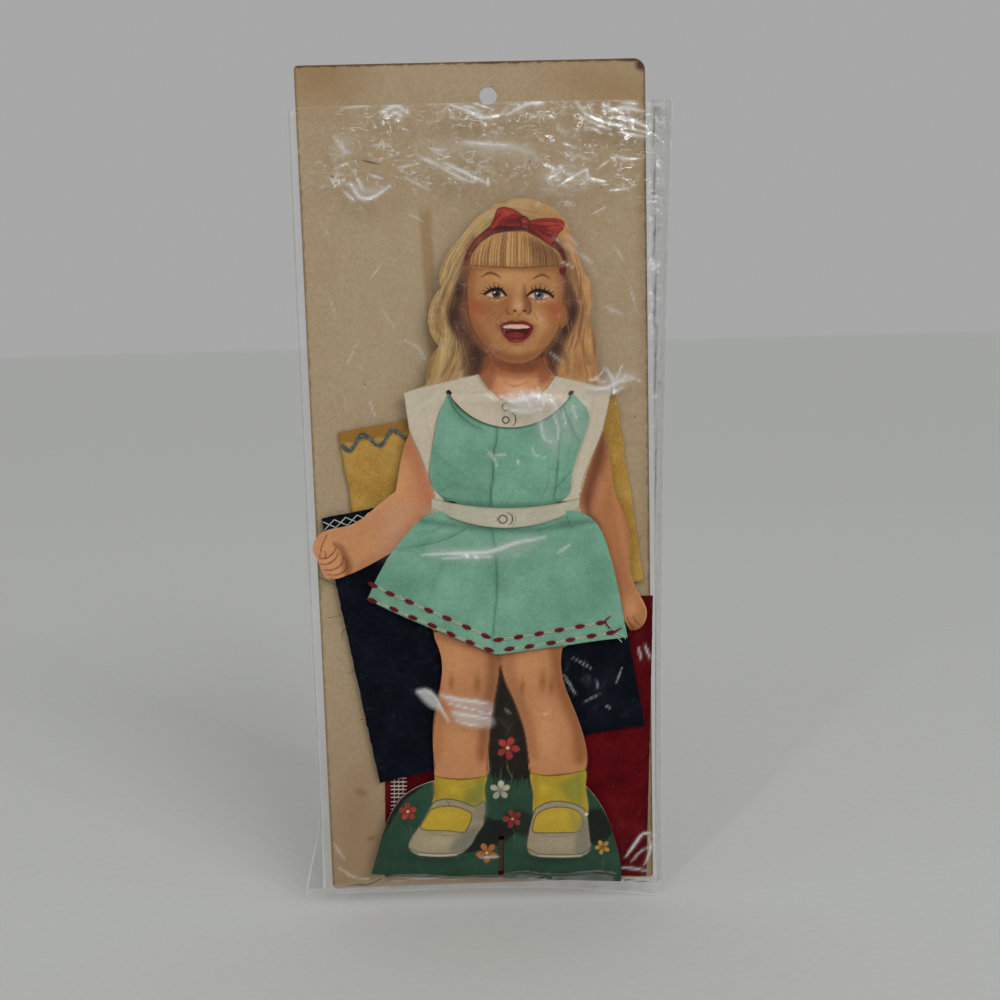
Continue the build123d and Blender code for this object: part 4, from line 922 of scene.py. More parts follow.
    # eyes: lids, iris, lashes and brows
    for lid, iris, size, tone, catch in (
            ([(-6.9, 225.9), (-4.9, 227.1), (-3.2, 227.5), (-1.5, 226.9), (0, 225.6), (-2.6, 224.8),
            (-4.9, 224.9)], (-3.2, 226.2), 1.55, (62, 58, 54), (-3.9, 226.8)),
            ([(8.4, 225.4), (10.6, 226.8), (12.3, 227.2), (14.2, 226.7), (16.7, 225.4), (13.5, 224.5),
            (10.9, 224.6)], (12.4, 225.9), 1.65, (86, 92, 96), (11.7, 226.5))):
        p.shade([(u, v + 1.4 * (v > 226)) for u, v in lid], (132, 86, 54), 1.2, 0.7)
        p.fill(lid, (196, 162, 136), 0.3)
        p.shade(lid[:5] + [(u, v - 0.7) for u, v in (lid[3], lid[1])], (134, 100, 80), 0.5, 0.7)
        ring = circle(*iris, size, size, 8, 5.5)
        p.fill(ring, (34, 26, 26), 0.25)
        p.fill(ring, tone, 0.25, spread=-0.3)
        p.glow((iris[0] + 0.3, iris[1] - 0.7), 0.7, [min(255, c * 1.7) for c in tone], 0.6)
        p.fill(circle(iris[0], iris[1] + 0.1, 0.85, 0.85, 8, 5.5), (14, 8, 10), 0.25)
        p.fill(diamond(*catch, 0.35), (236, 224, 206), 0.25)
        p.stroke([lid[0], lid[6], lid[5], lid[4]], (128, 72, 52), 0.4, 0.75)
        p.stroke([(lid[6][0] - 0.6, lid[6][1] - 0.9), (lid[5][0], lid[5][1] - 1.0),
            (lid[4][0], lid[4][1] - 0.8)], (190, 148, 116), 0.7, 0.55, soft=0.5)
    for lash in ([(-7.6, 225.9), (-6.2, 227), (-4.8, 227.7), (-3, 228), (-1.4, 227.6), (0.3, 225.8)],
            [(8, 225.5), (9.2, 226.7), (10.7, 227.4), (12.6, 227.6), (14.5, 227.2), (16.3, 226.4),
            (17.6, 225.2)]):
        p.stroke(lash, (22, 12, 11), 1.25, 1.0, taper=(0.4, 1, 1, 0.6))
    for root, tip in (((-6.6, 226.6), (-9.5, 226.4)), ((-6.2, 227), (-8.6, 227.7)),
            ((-5.6, 227.7), (-7.5, 228.8)), ((-4.8, 228.1), (-6.1, 229.4)),
            ((-3.6, 228.5), (-4.3, 229.8)), ((-2.4, 228.4), (-2.4, 229.5)),
            ((-1.4, 227.8), (-0.9, 228.9)), ((10.2, 227.6), (9.5, 228.9)), ((11.4, 227.9), (11, 229.4)),
            ((12.8, 228), (12.9, 229.7)), ((14.2, 227.6), (14.9, 229.3)), ((15.3, 227.1), (16.7, 228.5)),
            ((16.1, 226.6), (17.8, 227.4)), ((16.7, 225.9), (18.2, 226.2))):
        p.stroke([root, ((root[0] + tip[0]) / 2, (root[1] + tip[1]) / 2 - 0.15), tip], (18, 10, 10), 0.5,
            0.95, taper=(1, 0.7, 0.15))
    for u, v, way in ((-5.4, 224.7, -0.5), (-3.6, 224.4, -0.2), (-1.8, 224.6, 0.2), (11.2, 224.2, -0.2),
            (13.2, 224.0, 0.1), (15.0, 224.5, 0.5)):
        p.stroke([(u, v), (u + way, v - 0.9)], (92, 48, 32), 0.28, 0.7)
    for fold in ([(-6.6, 229), (-4.6, 230.1), (-2.8, 230.1), (-0.9, 229)],
            [(9.6, 228.9), (11.6, 229.9), (13.8, 229.9), (16, 228.9)]):
        p.stroke(fold, (128, 80, 52), 0.5, 0.6, soft=0.4)
    for brow in ([(-8.9, 232.3), (-7, 233.4), (-5.6, 233.8), (-3.8, 233.4), (-1.6, 232)],
            [(10.2, 231.7), (11.4, 232.5), (13.1, 233.2), (14.6, 233), (16.4, 231.8)]):
        p.stroke(brow, (98, 58, 34), 0.9, 0.85, taper=(0.3, 1, 1, 0.3), soft=0.35)

    # mouth
    lips = [(-2, 214.5), (-0.6, 215.4), (2.1, 216.3), (4.2, 216), (6.5, 216.3), (8.8, 215.6),
        (10.5, 214.5), (9.8, 212.1), (7.9, 209.8), (5.8, 208.7), (4, 208.5), (2, 208.8),
        (0.3, 210.2), (-1.2, 212.3)]
    hollow = [(-0.8, 214.4), (1.6, 215.2), (4.5, 215.3), (7.1, 215.2), (9.2, 214.4), (8.6, 212.2),
        (7, 210.5), (4.2, 209.8), (1.7, 210.5), (0.1, 212.2)]
    p.shade([(-3.4, 214.4), (2, 217.4), (6.6, 217.4), (12, 214.4), (8, 208.6), (4, 207.4), (0, 209.6)],
        (128, 74, 48), 1.2, 0.45)
    p.fill(lips, (106, 28, 23), 0.35)
    p.stroke([(-2, 214.5), (-0.6, 215.5), (2.1, 216.4), (4.2, 216), (6.5, 216.4), (8.8, 215.7),
        (10.5, 214.5)], (72, 18, 16), 0.5, 0.8)
    p.fill(hollow, (66, 13, 14), 0.3)
    p.fill([(-0.7, 214.4), (1.6, 215.1), (4.5, 215.2), (7.1, 215.1), (9.1, 214.4), (8.5, 213.9),
        (6.9, 213.8), (4.8, 213.6), (2.2, 213.7), (0.1, 213.8)], (200, 166, 146), 0.3)
    for u in (1.0, 2.6, 4.3, 6.0, 7.6):
        p.stroke([(u, 214.9), (u + 0.05, 213.4)], (150, 106, 86), 0.22, 0.5)
    p.fill([(1.2, 211.6), (4.2, 212.5), (7.2, 211.6), (6.6, 210.6), (4.2, 210.1), (1.9, 210.6)],
        (112, 34, 30), 0.35)
    p.glow((4.2, 209.2), (2.2, 0.4), (152, 78, 58), 0.6)
    for corner in ([(-2.8, 214.4), (-3.2, 215.3)], [(11.2, 214.5), (11.7, 215.4)]):
        p.stroke(corner, (116, 66, 42), 0.5, 0.6)
    p.stroke([(-0.4, 219.9), (-1.6, 218.4), (-3.2, 216.7)], (134, 82, 54), 0.7, 0.5, soft=0.6)
    p.stroke([(9.9, 219.9), (11.2, 218.2), (12.2, 216.8)], (134, 82, 54), 0.7, 0.45, soft=0.6)
    p.glow((4.6, 206.6), (3, 1.6), (176, 128, 88), 0.6)
    p.stroke([(2, 208.2), (4.2, 207.7), (6.6, 208.2)], (126, 76, 50), 0.6, 0.55, soft=0.5)


HAIR_TONES = [(0.0, (112, 82, 50)), (0.35, (140, 110, 70)), (0.65, (162, 134, 92)),
    (1.0, (184, 160, 118))]
WARM_TONES = [(0.0, (108, 70, 42)), (0.35, (140, 100, 62)), (0.65, (166, 124, 80)),
    (1.0, (188, 148, 104))]
SHADED_TONES = [(0.0, (48, 28, 24)), (0.4, (70, 44, 36)), (0.75, (92, 62, 42)), (1.0, (116, 84, 54))]


def paint_hair_behind(p):
    """Golden waves, deepest beside the face and neck."""
    p.fill([(-42, 184), (-42, 266), (48, 266), (48, 184)], GOLD, smooth=False)
    p.shade([(16, 268), (50, 268), (50, 182), (16, 182)], (162, 116, 70), 6, 0.9, smooth=False)
    for outer, inner, tones, seed, fine, share in (
            ([(2, 263), (-12, 256), (-22, 244), (-27, 232), (-31, 221), (-29, 212), (-31, 200),
            (-36, 188)], [(2, 251), (-6, 249), (-13, 241), (-16, 232), (-20, 222), (-19, 212),
            (-17, 202), (-20, 190)], HAIR_TONES, 15, 22, 0.62),
            ([(-22, 216), (-19, 209), (-20, 202), (-24, 194), (-26, 188)],
            [(-14, 217), (-11, 210), (-12, 203), (-16, 196), (-18, 190)], HAIR_TONES, 21, 14, 0.6),
            ([(2, 263), (16, 258), (26, 249), (32, 238), (36, 226), (35, 216), (37, 204), (42, 190)],
            [(2, 251), (14, 250), (20, 243), (23, 232), (27, 222), (26, 213), (24, 204), (22, 190)],
            WARM_TONES, 33, 22, 0.62)):
        p.strands(outer, inner, tones, seed, fine=fine, soft=2.5, share=share)
    for line, tone in (([(-7.2, 254.4), (-15.4, 246.2), (-21.2, 238), (-24.1, 230.7), (-27.6, 222.8),
            (-27.2, 215.5)], (176, 150, 102)),
            ([(-16.5, 238), (-18.8, 231.5), (-22.6, 224.3), (-24.5, 217)], (166, 138, 92)),
            ([(-23.6, 213.8), (-21.4, 209.7), (-22.6, 203.9), (-26.6, 198)], (180, 154, 106)),
            ([(-16.6, 213.6), (-15.4, 209.5), (-16.4, 204.7), (-19.7, 200.2)], (168, 138, 88)),
            ([(19.7, 256), (25.2, 246.2), (29.8, 236.2), (32.5, 227.5), (32.3, 218.8), (31.3, 211.5),
            (32.9, 204.2), (36.4, 196.1)], (182, 138, 92)),
            ([(25.5, 211.5), (27.1, 205.7), (30.1, 199.8)], (176, 128, 84)),
            ([(23.5, 244), (27.6, 233.3), (29.2, 226.1)], (172, 130, 86))):
        p.stroke(line, tone, 2.6, 0.55, soft=2.4)
    for line in ([(-14.7, 243), (-17.6, 235.1), (-22.1, 227.1), (-24.9, 219.9), (-25.4, 214.5),
            (-22.4, 210.5)], [(-22.4, 217.7), (-18.6, 211.2), (-18.6, 204.6), (-23.1, 196.5)],
            [(-10.2, 210), (-12.4, 204.7), (-16.4, 198.8)],
            [(22.5, 240.5), (26.3, 231.1), (28.6, 223.2), (27.4, 215.2), (28.2, 208.6), (31.3, 200.5)],
            [(20.4, 207.1), (22.7, 202.7), (23.5, 197.5)], [(-26.4, 206.5), (-28.4, 201), (-28, 195)],
            [(32.6, 214), (33.6, 206), (36.4, 199)]):
        p.stroke(line, (98, 68, 44), 1.3, 0.62, soft=1.5)
        p.stroke([(u + 0.9, v) for u, v in line], (120, 88, 56), 0.5, 0.5, soft=0.5)
    rng = random.Random(8)
    for line, tones in (([(-7.2, 254.4), (-15.4, 246.2), (-21.2, 238), (-24.1, 230.7), (-27.6, 222.8),
            (-27.2, 215.5), (-28.6, 207), (-31, 198)],
            ((110, 80, 48), (188, 162, 114), (132, 102, 64), (176, 148, 100))),
            ([(-12.5, 246), (-17.8, 236.5), (-21.6, 227.3), (-23.5, 218), (-21.4, 210.7), (-22.6, 203.9),
            (-26.6, 192)], ((104, 74, 46), (184, 156, 108), (126, 94, 58), (168, 138, 92))),
            ([(17.7, 256), (25.2, 246.2), (29.8, 236.2), (32.5, 227.5), (32.3, 218.8), (31.3, 211.5),
            (32.9, 204.2), (37.4, 192.1)],
            ((112, 72, 44), (190, 146, 98), (132, 90, 56), (178, 132, 86))),
            ([(20.5, 250), (26.5, 238.2), (29.1, 228.7), (28.1, 219.8), (26.1, 210.5), (27.1, 203.7),
            (30.1, 193.8)], ((104, 66, 42), (180, 134, 88), (126, 84, 52), (166, 120, 76)))):
        for _ in range(34):
            side, slip = rng.gauss(0, 2.1), rng.uniform(-4, 4)
            first = rng.randrange(0, len(line) - 3)
            part = [(u + side + rng.gauss(0, 0.3), v + slip) for u, v in line[
                first:first + rng.choice((3, 4))]]
            p.stroke(part, rng.choice(tones), rng.uniform(0.22, 0.5), rng.uniform(0.3, 0.65),
                taper=(0.1, 1, 1, 0.1), soft=0.3)
    left = [(-12.1, 247), (-13.9, 240.2), (-14.9, 234.4), (-16.9, 230.1), (-18.8, 224.3), (-20.6, 218.5),
        (-18.6, 212.7), (-15, 208.3), (-13.6, 203.9), (-12.8, 196.3), (-5.9, 196.8), (-4.2, 202.5),
        (-6.1, 207.2), (-9, 212.3), (-10, 220), (-10, 240.2)]
    right = [(20.1, 244.4), (22.3, 233.3), (24.1, 228.2), (26.5, 221.7), (25.2, 215.9), (21.6, 210),
        (18.6, 204.9), (18, 198.2), (20.2, 194.5), (12.6, 196.7), (12.7, 204.1), (16.8, 211.5),
        (18.1, 218.8), (18.8, 227.5), (18.2, 240.7)]
    for patch in (left, right):
        p.shade(patch, (82, 52, 38), 2.0, 0.92)
    for outer, inner, seed in (([(-14, 244), (-17, 232), (-21, 219), (-17, 208), (-15, 196)],
            [(-11, 244), (-12.5, 232), (-13, 219), (-8, 208), (-7, 196)], 3),
            ([(23, 242), (25, 230), (27, 221), (23, 210), (19, 196)],
            [(20, 242), (21, 230), (21, 221), (16, 210), (15, 196)], 9)):
        p.strands(outer, inner, SHADED_TONES, seed, fine=12, soft=2.0, share=0.65)
    for u, v, wide, high in ((-16.9, 227.4, 1.6, 3.4), (-18.9, 218.2, 1.6, 3.6),
            (-10.2, 205.0, 2.2, 4.0), (-12.2, 214.6, 1.8, 4.2), (-9.0, 199.5, 1.8, 3.0),
            (24.6, 219.0, 1.7, 4.0), (22.4, 213.8, 2.0, 3.4), (18.8, 206.6, 2.2, 3.2),
            (16.6, 200.2, 1.6, 3.2)):
        p.glow((u, v), (wide, high), (50, 28, 26), 0.72)
    for u, v, wide, high, tone in ((34.4, 203.4, 2.2, 4.6, (122, 70, 38)),
            (28.0, 200.0, 2.0, 5.0, (126, 78, 44)), (31.6, 214.6, 1.8, 4.0, (134, 88, 50)),
            (-27.4, 201.0, 2.4, 5.0, (128, 96, 52)), (-24.6, 214.6, 1.8, 3.6, (122, 90, 52)),
            (38.2, 196.4, 2.2, 3.4, (146, 92, 58))):
        p.glow((u, v), (wide, high), tone, 0.55)
    rng = random.Random(4)
    for _ in range(70):
        u, v = rng.choice(((-19, 222), (-16, 206), (24, 214), (20, 204), (-22, 230), (27, 230)))
        u, v = u + rng.gauss(0, 2.4), v + rng.gauss(0, 5)
        way = 0.35 if v > 214 else -0.45
        way = way if u > 0 else -way * 0.9
        p.stroke([(u - way * 2, v + 3.4), (u, v), (u + way * 2.2, v - 3.4)],
            rng.choice([(176, 140, 92), (58, 34, 28), (140, 102, 62), (86, 56, 38)]),
            rng.uniform(0.25, 0.5), rng.uniform(0.2, 0.5), taper=(0.1, 1, 0.1))


def paint_crown(p):
    """Crown, fringe, hair band and bow."""
    for u, v, wide, high, tone in ((-2, 257.4, 5, 2.0, (170, 140, 96)),
            (6, 259.4, 5, 1.6, (182, 154, 112)), (15, 257, 5, 2.0, (176, 136, 92)),
            (22, 251, 3, 4, (170, 128, 84)), (-11, 250, 4, 4, (168, 136, 90)),
            (11, 255.6, 4, 1.2, (142, 106, 68)), (-16, 243, 3, 5, (160, 128, 84)),
            (25, 242, 2.6, 5, (166, 122, 80))):
        p.glow((u, v), (wide, high), tone, 0.5)
    under = [(-3.2, 252.2), (-7.1, 249.6), (-11.2, 246), (-14.2, 241.4), (-15.4, 236.4), (-12.4, 236.4),
        (-11.1, 240.4), (-8.6, 244.3), (-4.2, 247.5), (0.9, 248.4), (6.7, 248.9), (12, 246.4),
        (18, 242.4), (19.4, 239.6), (19.8, 234), (21.6, 232.4), (22.6, 237.4), (21.4, 242.4),
        (17.6, 246.4), (9.4, 251.8), (2.3, 251.6)]
    p.fill(under, (84, 32, 30), 0.5, smooth=False)
    p.stroke([(-4, 249.6), (0, 250), (5, 250.2)], (52, 20, 22), 1.2, 0.75, soft=0.8)
    p.stroke([(-14.2, 238.2), (-12.4, 242.4), (-8.8, 246.6), (-5.4, 249.2)], (116, 48, 42), 0.8,
        0.7, soft=0.7)
    fringe = [(-12.6, 239.5), (-11.4, 241.8), (-9.3, 244.5), (-6.9, 246.4), (-4.2, 247.8), (-1.4, 248.5),
        (1.6, 248.8), (4.2, 249), (6.7, 248.9), (9.6, 247.6), (12.6, 246), (15.5, 244), (18.2, 242.6),
        (19.9, 241), (20.6, 238.6), (20.6, 237.2), (16.6, 236.8), (12.7, 236.5), (9, 236.2), (5.3, 236),
        (1.6, 236.1), (-2, 236.3), (-7.4, 236.5), (-13, 236.8)]
    p.fill(fringe, (164, 124, 76), 0.35, smooth=False)
    p.glow((-3, 243.4), (6.4, 3.2), (184, 146, 96), 0.7)
    p.glow((7.5, 244.4), (4.4, 2.6), (174, 134, 84), 0.5)
    p.shade([(7, 246.4), (13, 244.6), (19.6, 240.8), (20.8, 237), (14, 237.4), (9.6, 240.6)],
        (112, 66, 48), 1.6, 0.72)
    p.shade([(-13.2, 240.4), (-10.4, 242), (-10.6, 237), (-13, 236.6)], (128, 86, 52), 1.2, 0.6)
    p.shade([(-13, 238.2), (4, 237.4), (20.8, 238.2), (20.8, 236), (4, 235.6), (-13.2, 236)],
        (132, 90, 54), 0.9, 0.6)
    rng = random.Random(77)
    tops, middle, hairs = np.array(fringe[:15]), 4.3, 210
    for k in range(hairs):
        share = (k + rng.random()) / hairs
        x = -12.4 + 33.0 * share
        crest = np.interp(middle + (x - middle) * 0.90, tops[:, 0], tops[:, 1]) - rng.uniform(0,
            2.2) * rng.random()
        if rng.random() < 0.62:
            tone = rng.choice([(118, 78, 44), (128, 88, 50), (104, 64, 38)])
        else:
            tone = rng.choice([(190, 154, 104), (180, 142, 92)])
        if share > 0.66:
            tone = [c * (0.72 + 0.1 * rng.random()) for c in tone]
        p.stroke([(middle + (x - middle) * 0.86, crest), (x, (crest + 237) / 2),
            (x + (x - middle) * 0.03, rng.uniform(235.7, 236.9))], tone, rng.uniform(0.16, 0.34),
            rng.uniform(0.35, 0.8), taper=(0.4, 1, 0.7), soft=0.25)
    p.stroke([(-13.2, 236.6), (-7.4, 236.2), (-2, 236), (5.3, 235.7), (12.7, 236.2), (20.8, 236.8)],
        (96, 56, 34), 0.5, 0.75, soft=0.5)
    p.stroke([(-13, 236.4), (-12.6, 239.6), (-9.4, 244.4), (-4.4, 247.8), (1.6, 248.8), (6.6, 248.9)],
        (70, 34, 26), 0.5, 0.75, soft=0.4)

    # bow
    loop_left = [(-3, 256.6), (-0.7, 257.3), (3, 256.4), (5.6, 254.7), (7, 252.6), (5.6, 251),
        (1.6, 250.4), (-2.1, 251), (-4.6, 249.4), (-5.5, 250.3), (-4.3, 253.1)]
    loop_right = [(7.4, 251.8), (10.3, 252.9), (15.4, 253.5), (19.8, 253), (21.2, 251.9), (20.8, 249.7),
        (19.2, 248.2), (17.4, 244.9), (15.5, 244.4), (12.5, 247.2), (9.4, 249.6)]
    for loop in (loop_left, loop_right):
        p.fill(loop, (142, 46, 38), 0.35)
        p.outline(loop, (70, 24, 22), 0.4, 0.7)
    p.glow((0.2, 255.2), (2.4, 1.3), (166, 62, 50), 0.7, -15)
    p.glow((16.4, 251.2), (2.8, 1.3), (168, 66, 54), 0.7, -10)
    p.shade([(6.8, 252.9), (4.2, 253.9), (0.6, 253.4), (-2.6, 251.7), (1, 251.1), (5.4, 251.3)],
        (84, 26, 26), 0.9, 0.8)
    p.shade([(8.8, 251.6), (13.4, 250.9), (17.6, 248.6), (16.2, 246.2), (12.6, 248), (9.6, 249.9)],
        (98, 30, 28), 0.9, 0.75)
    for fold in ([(6.4, 253.2), (3.7, 254.6), (0.8, 253.9), (-2.1, 252.3)],
            [(9.2, 251.2), (13, 250.6), (19.4, 251)], [(9.4, 250.2), (13.4, 248.6), (17.4, 246.4)],
            [(-4.8, 250.8), (-3.4, 253.4), (-1, 255.6)], [(11, 252.4), (15, 252.6), (19, 252.2)]):
        p.stroke(fold, (74, 22, 24), 0.5, 0.75, soft=0.4)
    knot = [(5, 253.2), (6.5, 254.2), (8.2, 253.2), (8.8, 251.4), (7.8, 250), (6, 250.4)]
    p.fill(knot, (112, 36, 32), 0.3)
    p.outline(knot, (56, 18, 18), 0.45, 0.85)
    p.glow((6.9, 252.6), (0.8, 0.7), (148, 60, 48), 0.6)


def print_colours(points):
    """The whole printed front of the doll, as linear surface colours for points of its frame."""
    p = Print(points, BOARD_WHITE)
    top, foot = p.at[:, 1].max(), p.at[:, 1].min()
    if top > 180:
        paint_hair_behind(p)
        head = np.where(p.at[:, 1] > 196.8)[0]
        p.mottle(head, 2.0, 0.05, 60)
    if foot < 192 and top > 98:
        paint_arms(p)
    if top > 136 and foot < 197:
        paint_clothes(p)
    if top > 180:
        paint_neck(p)
    if top > 197:
        paint_face(p)
        paint_crown(p)
    if foot < 100:
        paint_legs_and_base(p)
    everywhere = np.arange(len(p.at))
    p.mottle(everywhere, 0.9, 0.05, 70)
    p.mottle(everywhere, 14.0, 0.04, 71)
    return np.hstack([surface_colour(np.clip(p.colour, 0, 255)), np.ones((len(p.at), 1))])


def front_loops(node, depth):
    """Outlines, in the doll's frame, of the flat front face of a board node at a depth."""
    mesh = nodes[node].data
    co = np.zeros(len(mesh.vertices) * 3)
    mesh.vertices.foreach_get("co", co)
    co = co.reshape(-1, 3)
    keys = np.round(co / 1e-6).astype(np.int64)
    _, first, same = np.unique(keys, axis=0, return_index=True, return_inverse=True)
    same = same.ravel()
    flat = np.abs(co[:, 1] + depth * MM) < 2e-6
    edges = {}
    for face in mesh.polygons:
        corners = list(face.vertices)
        if all(flat[c] for c in corners) and face.normal.y < -0.5:
            for a, b in zip(corners, corners[1:] + corners[:1]):
                a, b = int(same[a]), int(same[b])
                if (b, a) in edges:
                    del edges[(b, a)]
                else:
                    edges[(a, b)] = True
    onward = {}
    for a, b in edges:
        onward.setdefault(a, []).append(b)
    loops = []
    while onward:
        start = next(iter(onward))
        loop, here = [], start
        while here in onward:
            loop.append(here)
            ahead = onward[here].pop()
            if not onward[here]:
                del onward[here]
            here = ahead
        loops.append(to_doll(co[first[loop]]))
    return [loop for loop in loops if len(loop) > 2]


def printed_sheet(name, loops, low, high, step, paper):
    """Thin printed face of the doll board between two heights, cut to the board's outlines."""
    starts = np.vstack(loops)
    ends = np.vstack([np.roll(loop, -1, 0) for loop in loops])
    here = starts[(starts[:, 1] > low - 2) & (starts[:, 1] < high + 2)]
    left, right = here[:, 0].min() - step, here[:, 0].max() + step
    columns = int((right - left) / step) + 2
    rows = int(round((high - low) / step)) + 1
    us = left + step * np.arange(columns)
    vs = np.linspace(low, high, rows)
    u, v = np.meshgrid(us, vs)
    inside = np.zeros(u.shape, bool)
    for r, level in enumerate(vs):
        level += 1e-7
        cross = (starts[:, 1] > level) != (ends[:, 1] > level)
        a, b = starts[cross], ends[cross]
        hits = a[:, 0] + (level - a[:, 1]) * (b[:, 0] - a[:, 0]) / (b[:, 1] - a[:, 1])
        inside[r] = (hits[None, :] > us[:, None]).sum(1) % 2 == 1
    quads = grid_faces(rows, columns)
    flat_in = inside.ravel()
    kept = quads[flat_in[quads].any(1)]
    points = np.stack([u, v], -1).reshape(-1, 2)
    used = np.unique(kept)
    outer = used[~flat_in[used]]
    best = np.full(len(outer), 1e9)
    origin = points[outer]
    spot = origin.copy()
    for a, b in zip(starts, ends):
        d = b - a
        low_end, high_end = np.minimum(a, b) - 2 * step, np.maximum(a, b) + 2 * step
        close = np.where(((origin > low_end) & (origin < high_end)).all(1))[0]
        if not len(close):
            continue
        t = np.clip(((origin[close] - a) @ d) / max(float(d @ d), 1e-12), 0, 1)
        q = a + t[:, None] * d
        gap = np.hypot(*(origin[close] - q).T)
        closer = gap < best[close]
        best[close[closer]] = gap[closer]
        spot[close[closer]] = q[closer]
    points[outer] = spot
    order = -np.ones(len(points), int)
    order[used] = np.arange(len(used))
    printed_piece(name, *points[used].T, DOLL_FRONT + PRINT_GAP, order[kept], paper, "doll")


def printed_piece(name, u, v, depth, faces, paper, body):
    """A printed face of the board, painted for where its points lie on the doll."""
    mesh_piece(name, on_doll(u, v, depth), faces, paper, body,
        colours={"print": print_colours(np.stack([u, v], -1))})


def cover_the_doll(paper):
    loops = front_loops("doll_figure", DOLL_FRONT)
    coarse = 1.0
    for name, low, high, step in (("doll_print_head", 197.0, 262.0, 0.25),
            ("doll_print_body", 44.0, 197.0, 0.44), ("doll_print_base", -2.0, 44.0, 0.29)):
        printed_sheet(name, loops, low, high, step * coarse, paper)

    # belt strap: flat in the middle, ramped down to the board at both ends
    s, t = np.meshgrid(np.linspace(0, 1, 220), np.linspace(0, 1, 26))
    u = -26.8 + 54.6 * s
    bow = 1 - belt_bow(u)
    top, foot = 149.72 - TOP_RISE * bow, 145.48 - FOOT_RISE * bow
    v = foot + (top - foot) * t
    ramp = np.clip(np.minimum(u + 23.1, 24.1 - u) / 3.4, 0, 1)
    printed_piece("belt_print", u, v, DOLL_FRONT + PRINT_GAP * 2 + LIFT * ramp,
        grid_faces(26, 220), paper, "doll")

    # collar flap: a soft step forwards below its hinge, then flat down to its curved edge
    s, t = np.meshgrid(np.linspace(0, 1, 190), np.linspace(0, 1, 70))
    u = -19.4 + 42.9 * s
    top = COLLAR_HINGE - 0.02
    v = top + (collar_edge(u, COLLAR_FOOT) + 0.05 - top) * t
    bend = np.clip((COLLAR_HINGE - v) / 3.6, 0, 1)
    step = np.where(bend < 0.5, 2 * bend ** 2, 1 - 2 * (1 - bend) ** 2)
    printed_piece("collar_print", u, v, DOLL_FRONT + PRINT_GAP + LIFT * step,
        grid_faces(70, 190, downwards=True), paper, "collar")


paper = printed_paper_finish()
core = board_core_finish()
kraft = kraft_board_finish()
# the stand's board is painted near black: painted shade where it shows through the slot in the doll's
# base
shaded = board_core_finish("stand_board_painted_shade", (40, 31, 24), (66, 53, 42))
for name, finish in (("backing_card", kraft), ("doll_figure", core), ("collar_flap", core),
        ("stand_cross_piece", shaded)):
    for place in nodes[name].material_slots:
        place.material = finish
cover_the_doll(paper)


# ---- yarns and stitches, made by Geometry Nodes -------------------------------------------------
def geometry_tree(name, inputs, output, kinds):
    """A Geometry Nodes tree that takes the inputs and makes the output, and its nodes by name."""
    tree = bpy.data.node_groups.new(name, "GeometryNodeTree")
    for label, kind in inputs.items():
        tree.interface.new_socket(label, in_out="INPUT", socket_type="NodeSocket" + kind)
    tree.interface.new_socket(output, in_out="OUTPUT", socket_type="NodeSocketGeometry")
    return tree, {label: tree.nodes.new(kind) for label, kind in kinds.items()}


def link_nodes(tree, made, links):
    """Links written as node.output > node.input."""
    for link in links.split(", "):
        (start, leaves), (end, enters) = (side.split(".") for side in link.split(" > "))
        tree.links.new(made[start].outputs[leaves], made[end].inputs[enters])


def yarn_tree():
    """Turns paths with a girth at every point into round yarns."""
    tree, made = geometry_tree(
        "yarn_along_paths", {"Paths": "Geometry", "Sides": "Int", "Finish": "Material"}, "Yarn",
        {"enter": "NodeGroupInput", "leave": "NodeGroupOutput", "curve": "GeometryNodeMeshToCurve",
         "girth": "GeometryNodeInputNamedAttribute", "sized": "GeometryNodeSetCurveRadius",
         "ring": "GeometryNodeCurvePrimitiveCircle", "sweep": "GeometryNodeCurveToMesh",
         "soft": "GeometryNodeSetShadeSmooth", "real": "GeometryNodeRealizeInstances",
         "dress": "GeometryNodeSetMaterial"})
    made["girth"].inputs["Name"].default_value = "girth"
    made["ring"].inputs["Radius"].default_value = 1.0
    made["sweep"].inputs["Fill Caps"].default_value = True
    link_nodes(tree, made, (
        "enter.Paths > curve.Mesh, curve.Curve > sized.Curve, girth.Attribute > sized.Radius, "
        "enter.Sides > ring.Resolution, sized.Curve > sweep.Curve, "
        "ring.Curve > sweep.Profile Curve, girth.Attribute > sweep.Scale, "
        "sweep.Mesh > soft.Geometry, soft.Geometry > real.Geometry, "
        "real.Geometry > dress.Geometry, enter.Finish > dress.Material, "
        "dress.Geometry > leave.Yarn"))
    return tree


def stitch_tree():
    """Sets a small shape at every point, turned and sized by the point's own values."""
    tree, made = geometry_tree(
        "shape_at_points", {"Points": "Geometry", "Shape": "Object", "Finish": "Material"}, "Stitches",
        {"enter": "NodeGroupInput", "leave": "NodeGroupOutput", "shape": "GeometryNodeObjectInfo",
         "spread": "GeometryNodeInstanceOnPoints", "turn": "GeometryNodeInputNamedAttribute",
         "size": "GeometryNodeInputNamedAttribute", "angle": "FunctionNodeEulerToRotation",
         "real": "GeometryNodeRealizeInstances", "soft": "GeometryNodeSetShadeSmooth",
         "dress": "GeometryNodeSetMaterial"})
    for label in ("turn", "size"):
        made[label].data_type = "FLOAT_VECTOR"
        made[label].inputs["Name"].default_value = label
    link_nodes(tree, made, (
        "enter.Points > spread.Points, enter.Shape > shape.Object, "
        "shape.Geometry > spread.Instance, turn.Attribute > angle.Euler, "
        "angle.Rotation > spread.Rotation, size.Attribute > spread.Scale, "
        "spread.Instances > real.Geometry, real.Geometry > soft.Geometry, "
        "soft.Geometry > dress.Geometry, enter.Finish > dress.Material, "
        "dress.Geometry > leave.Stitches"))
    return tree


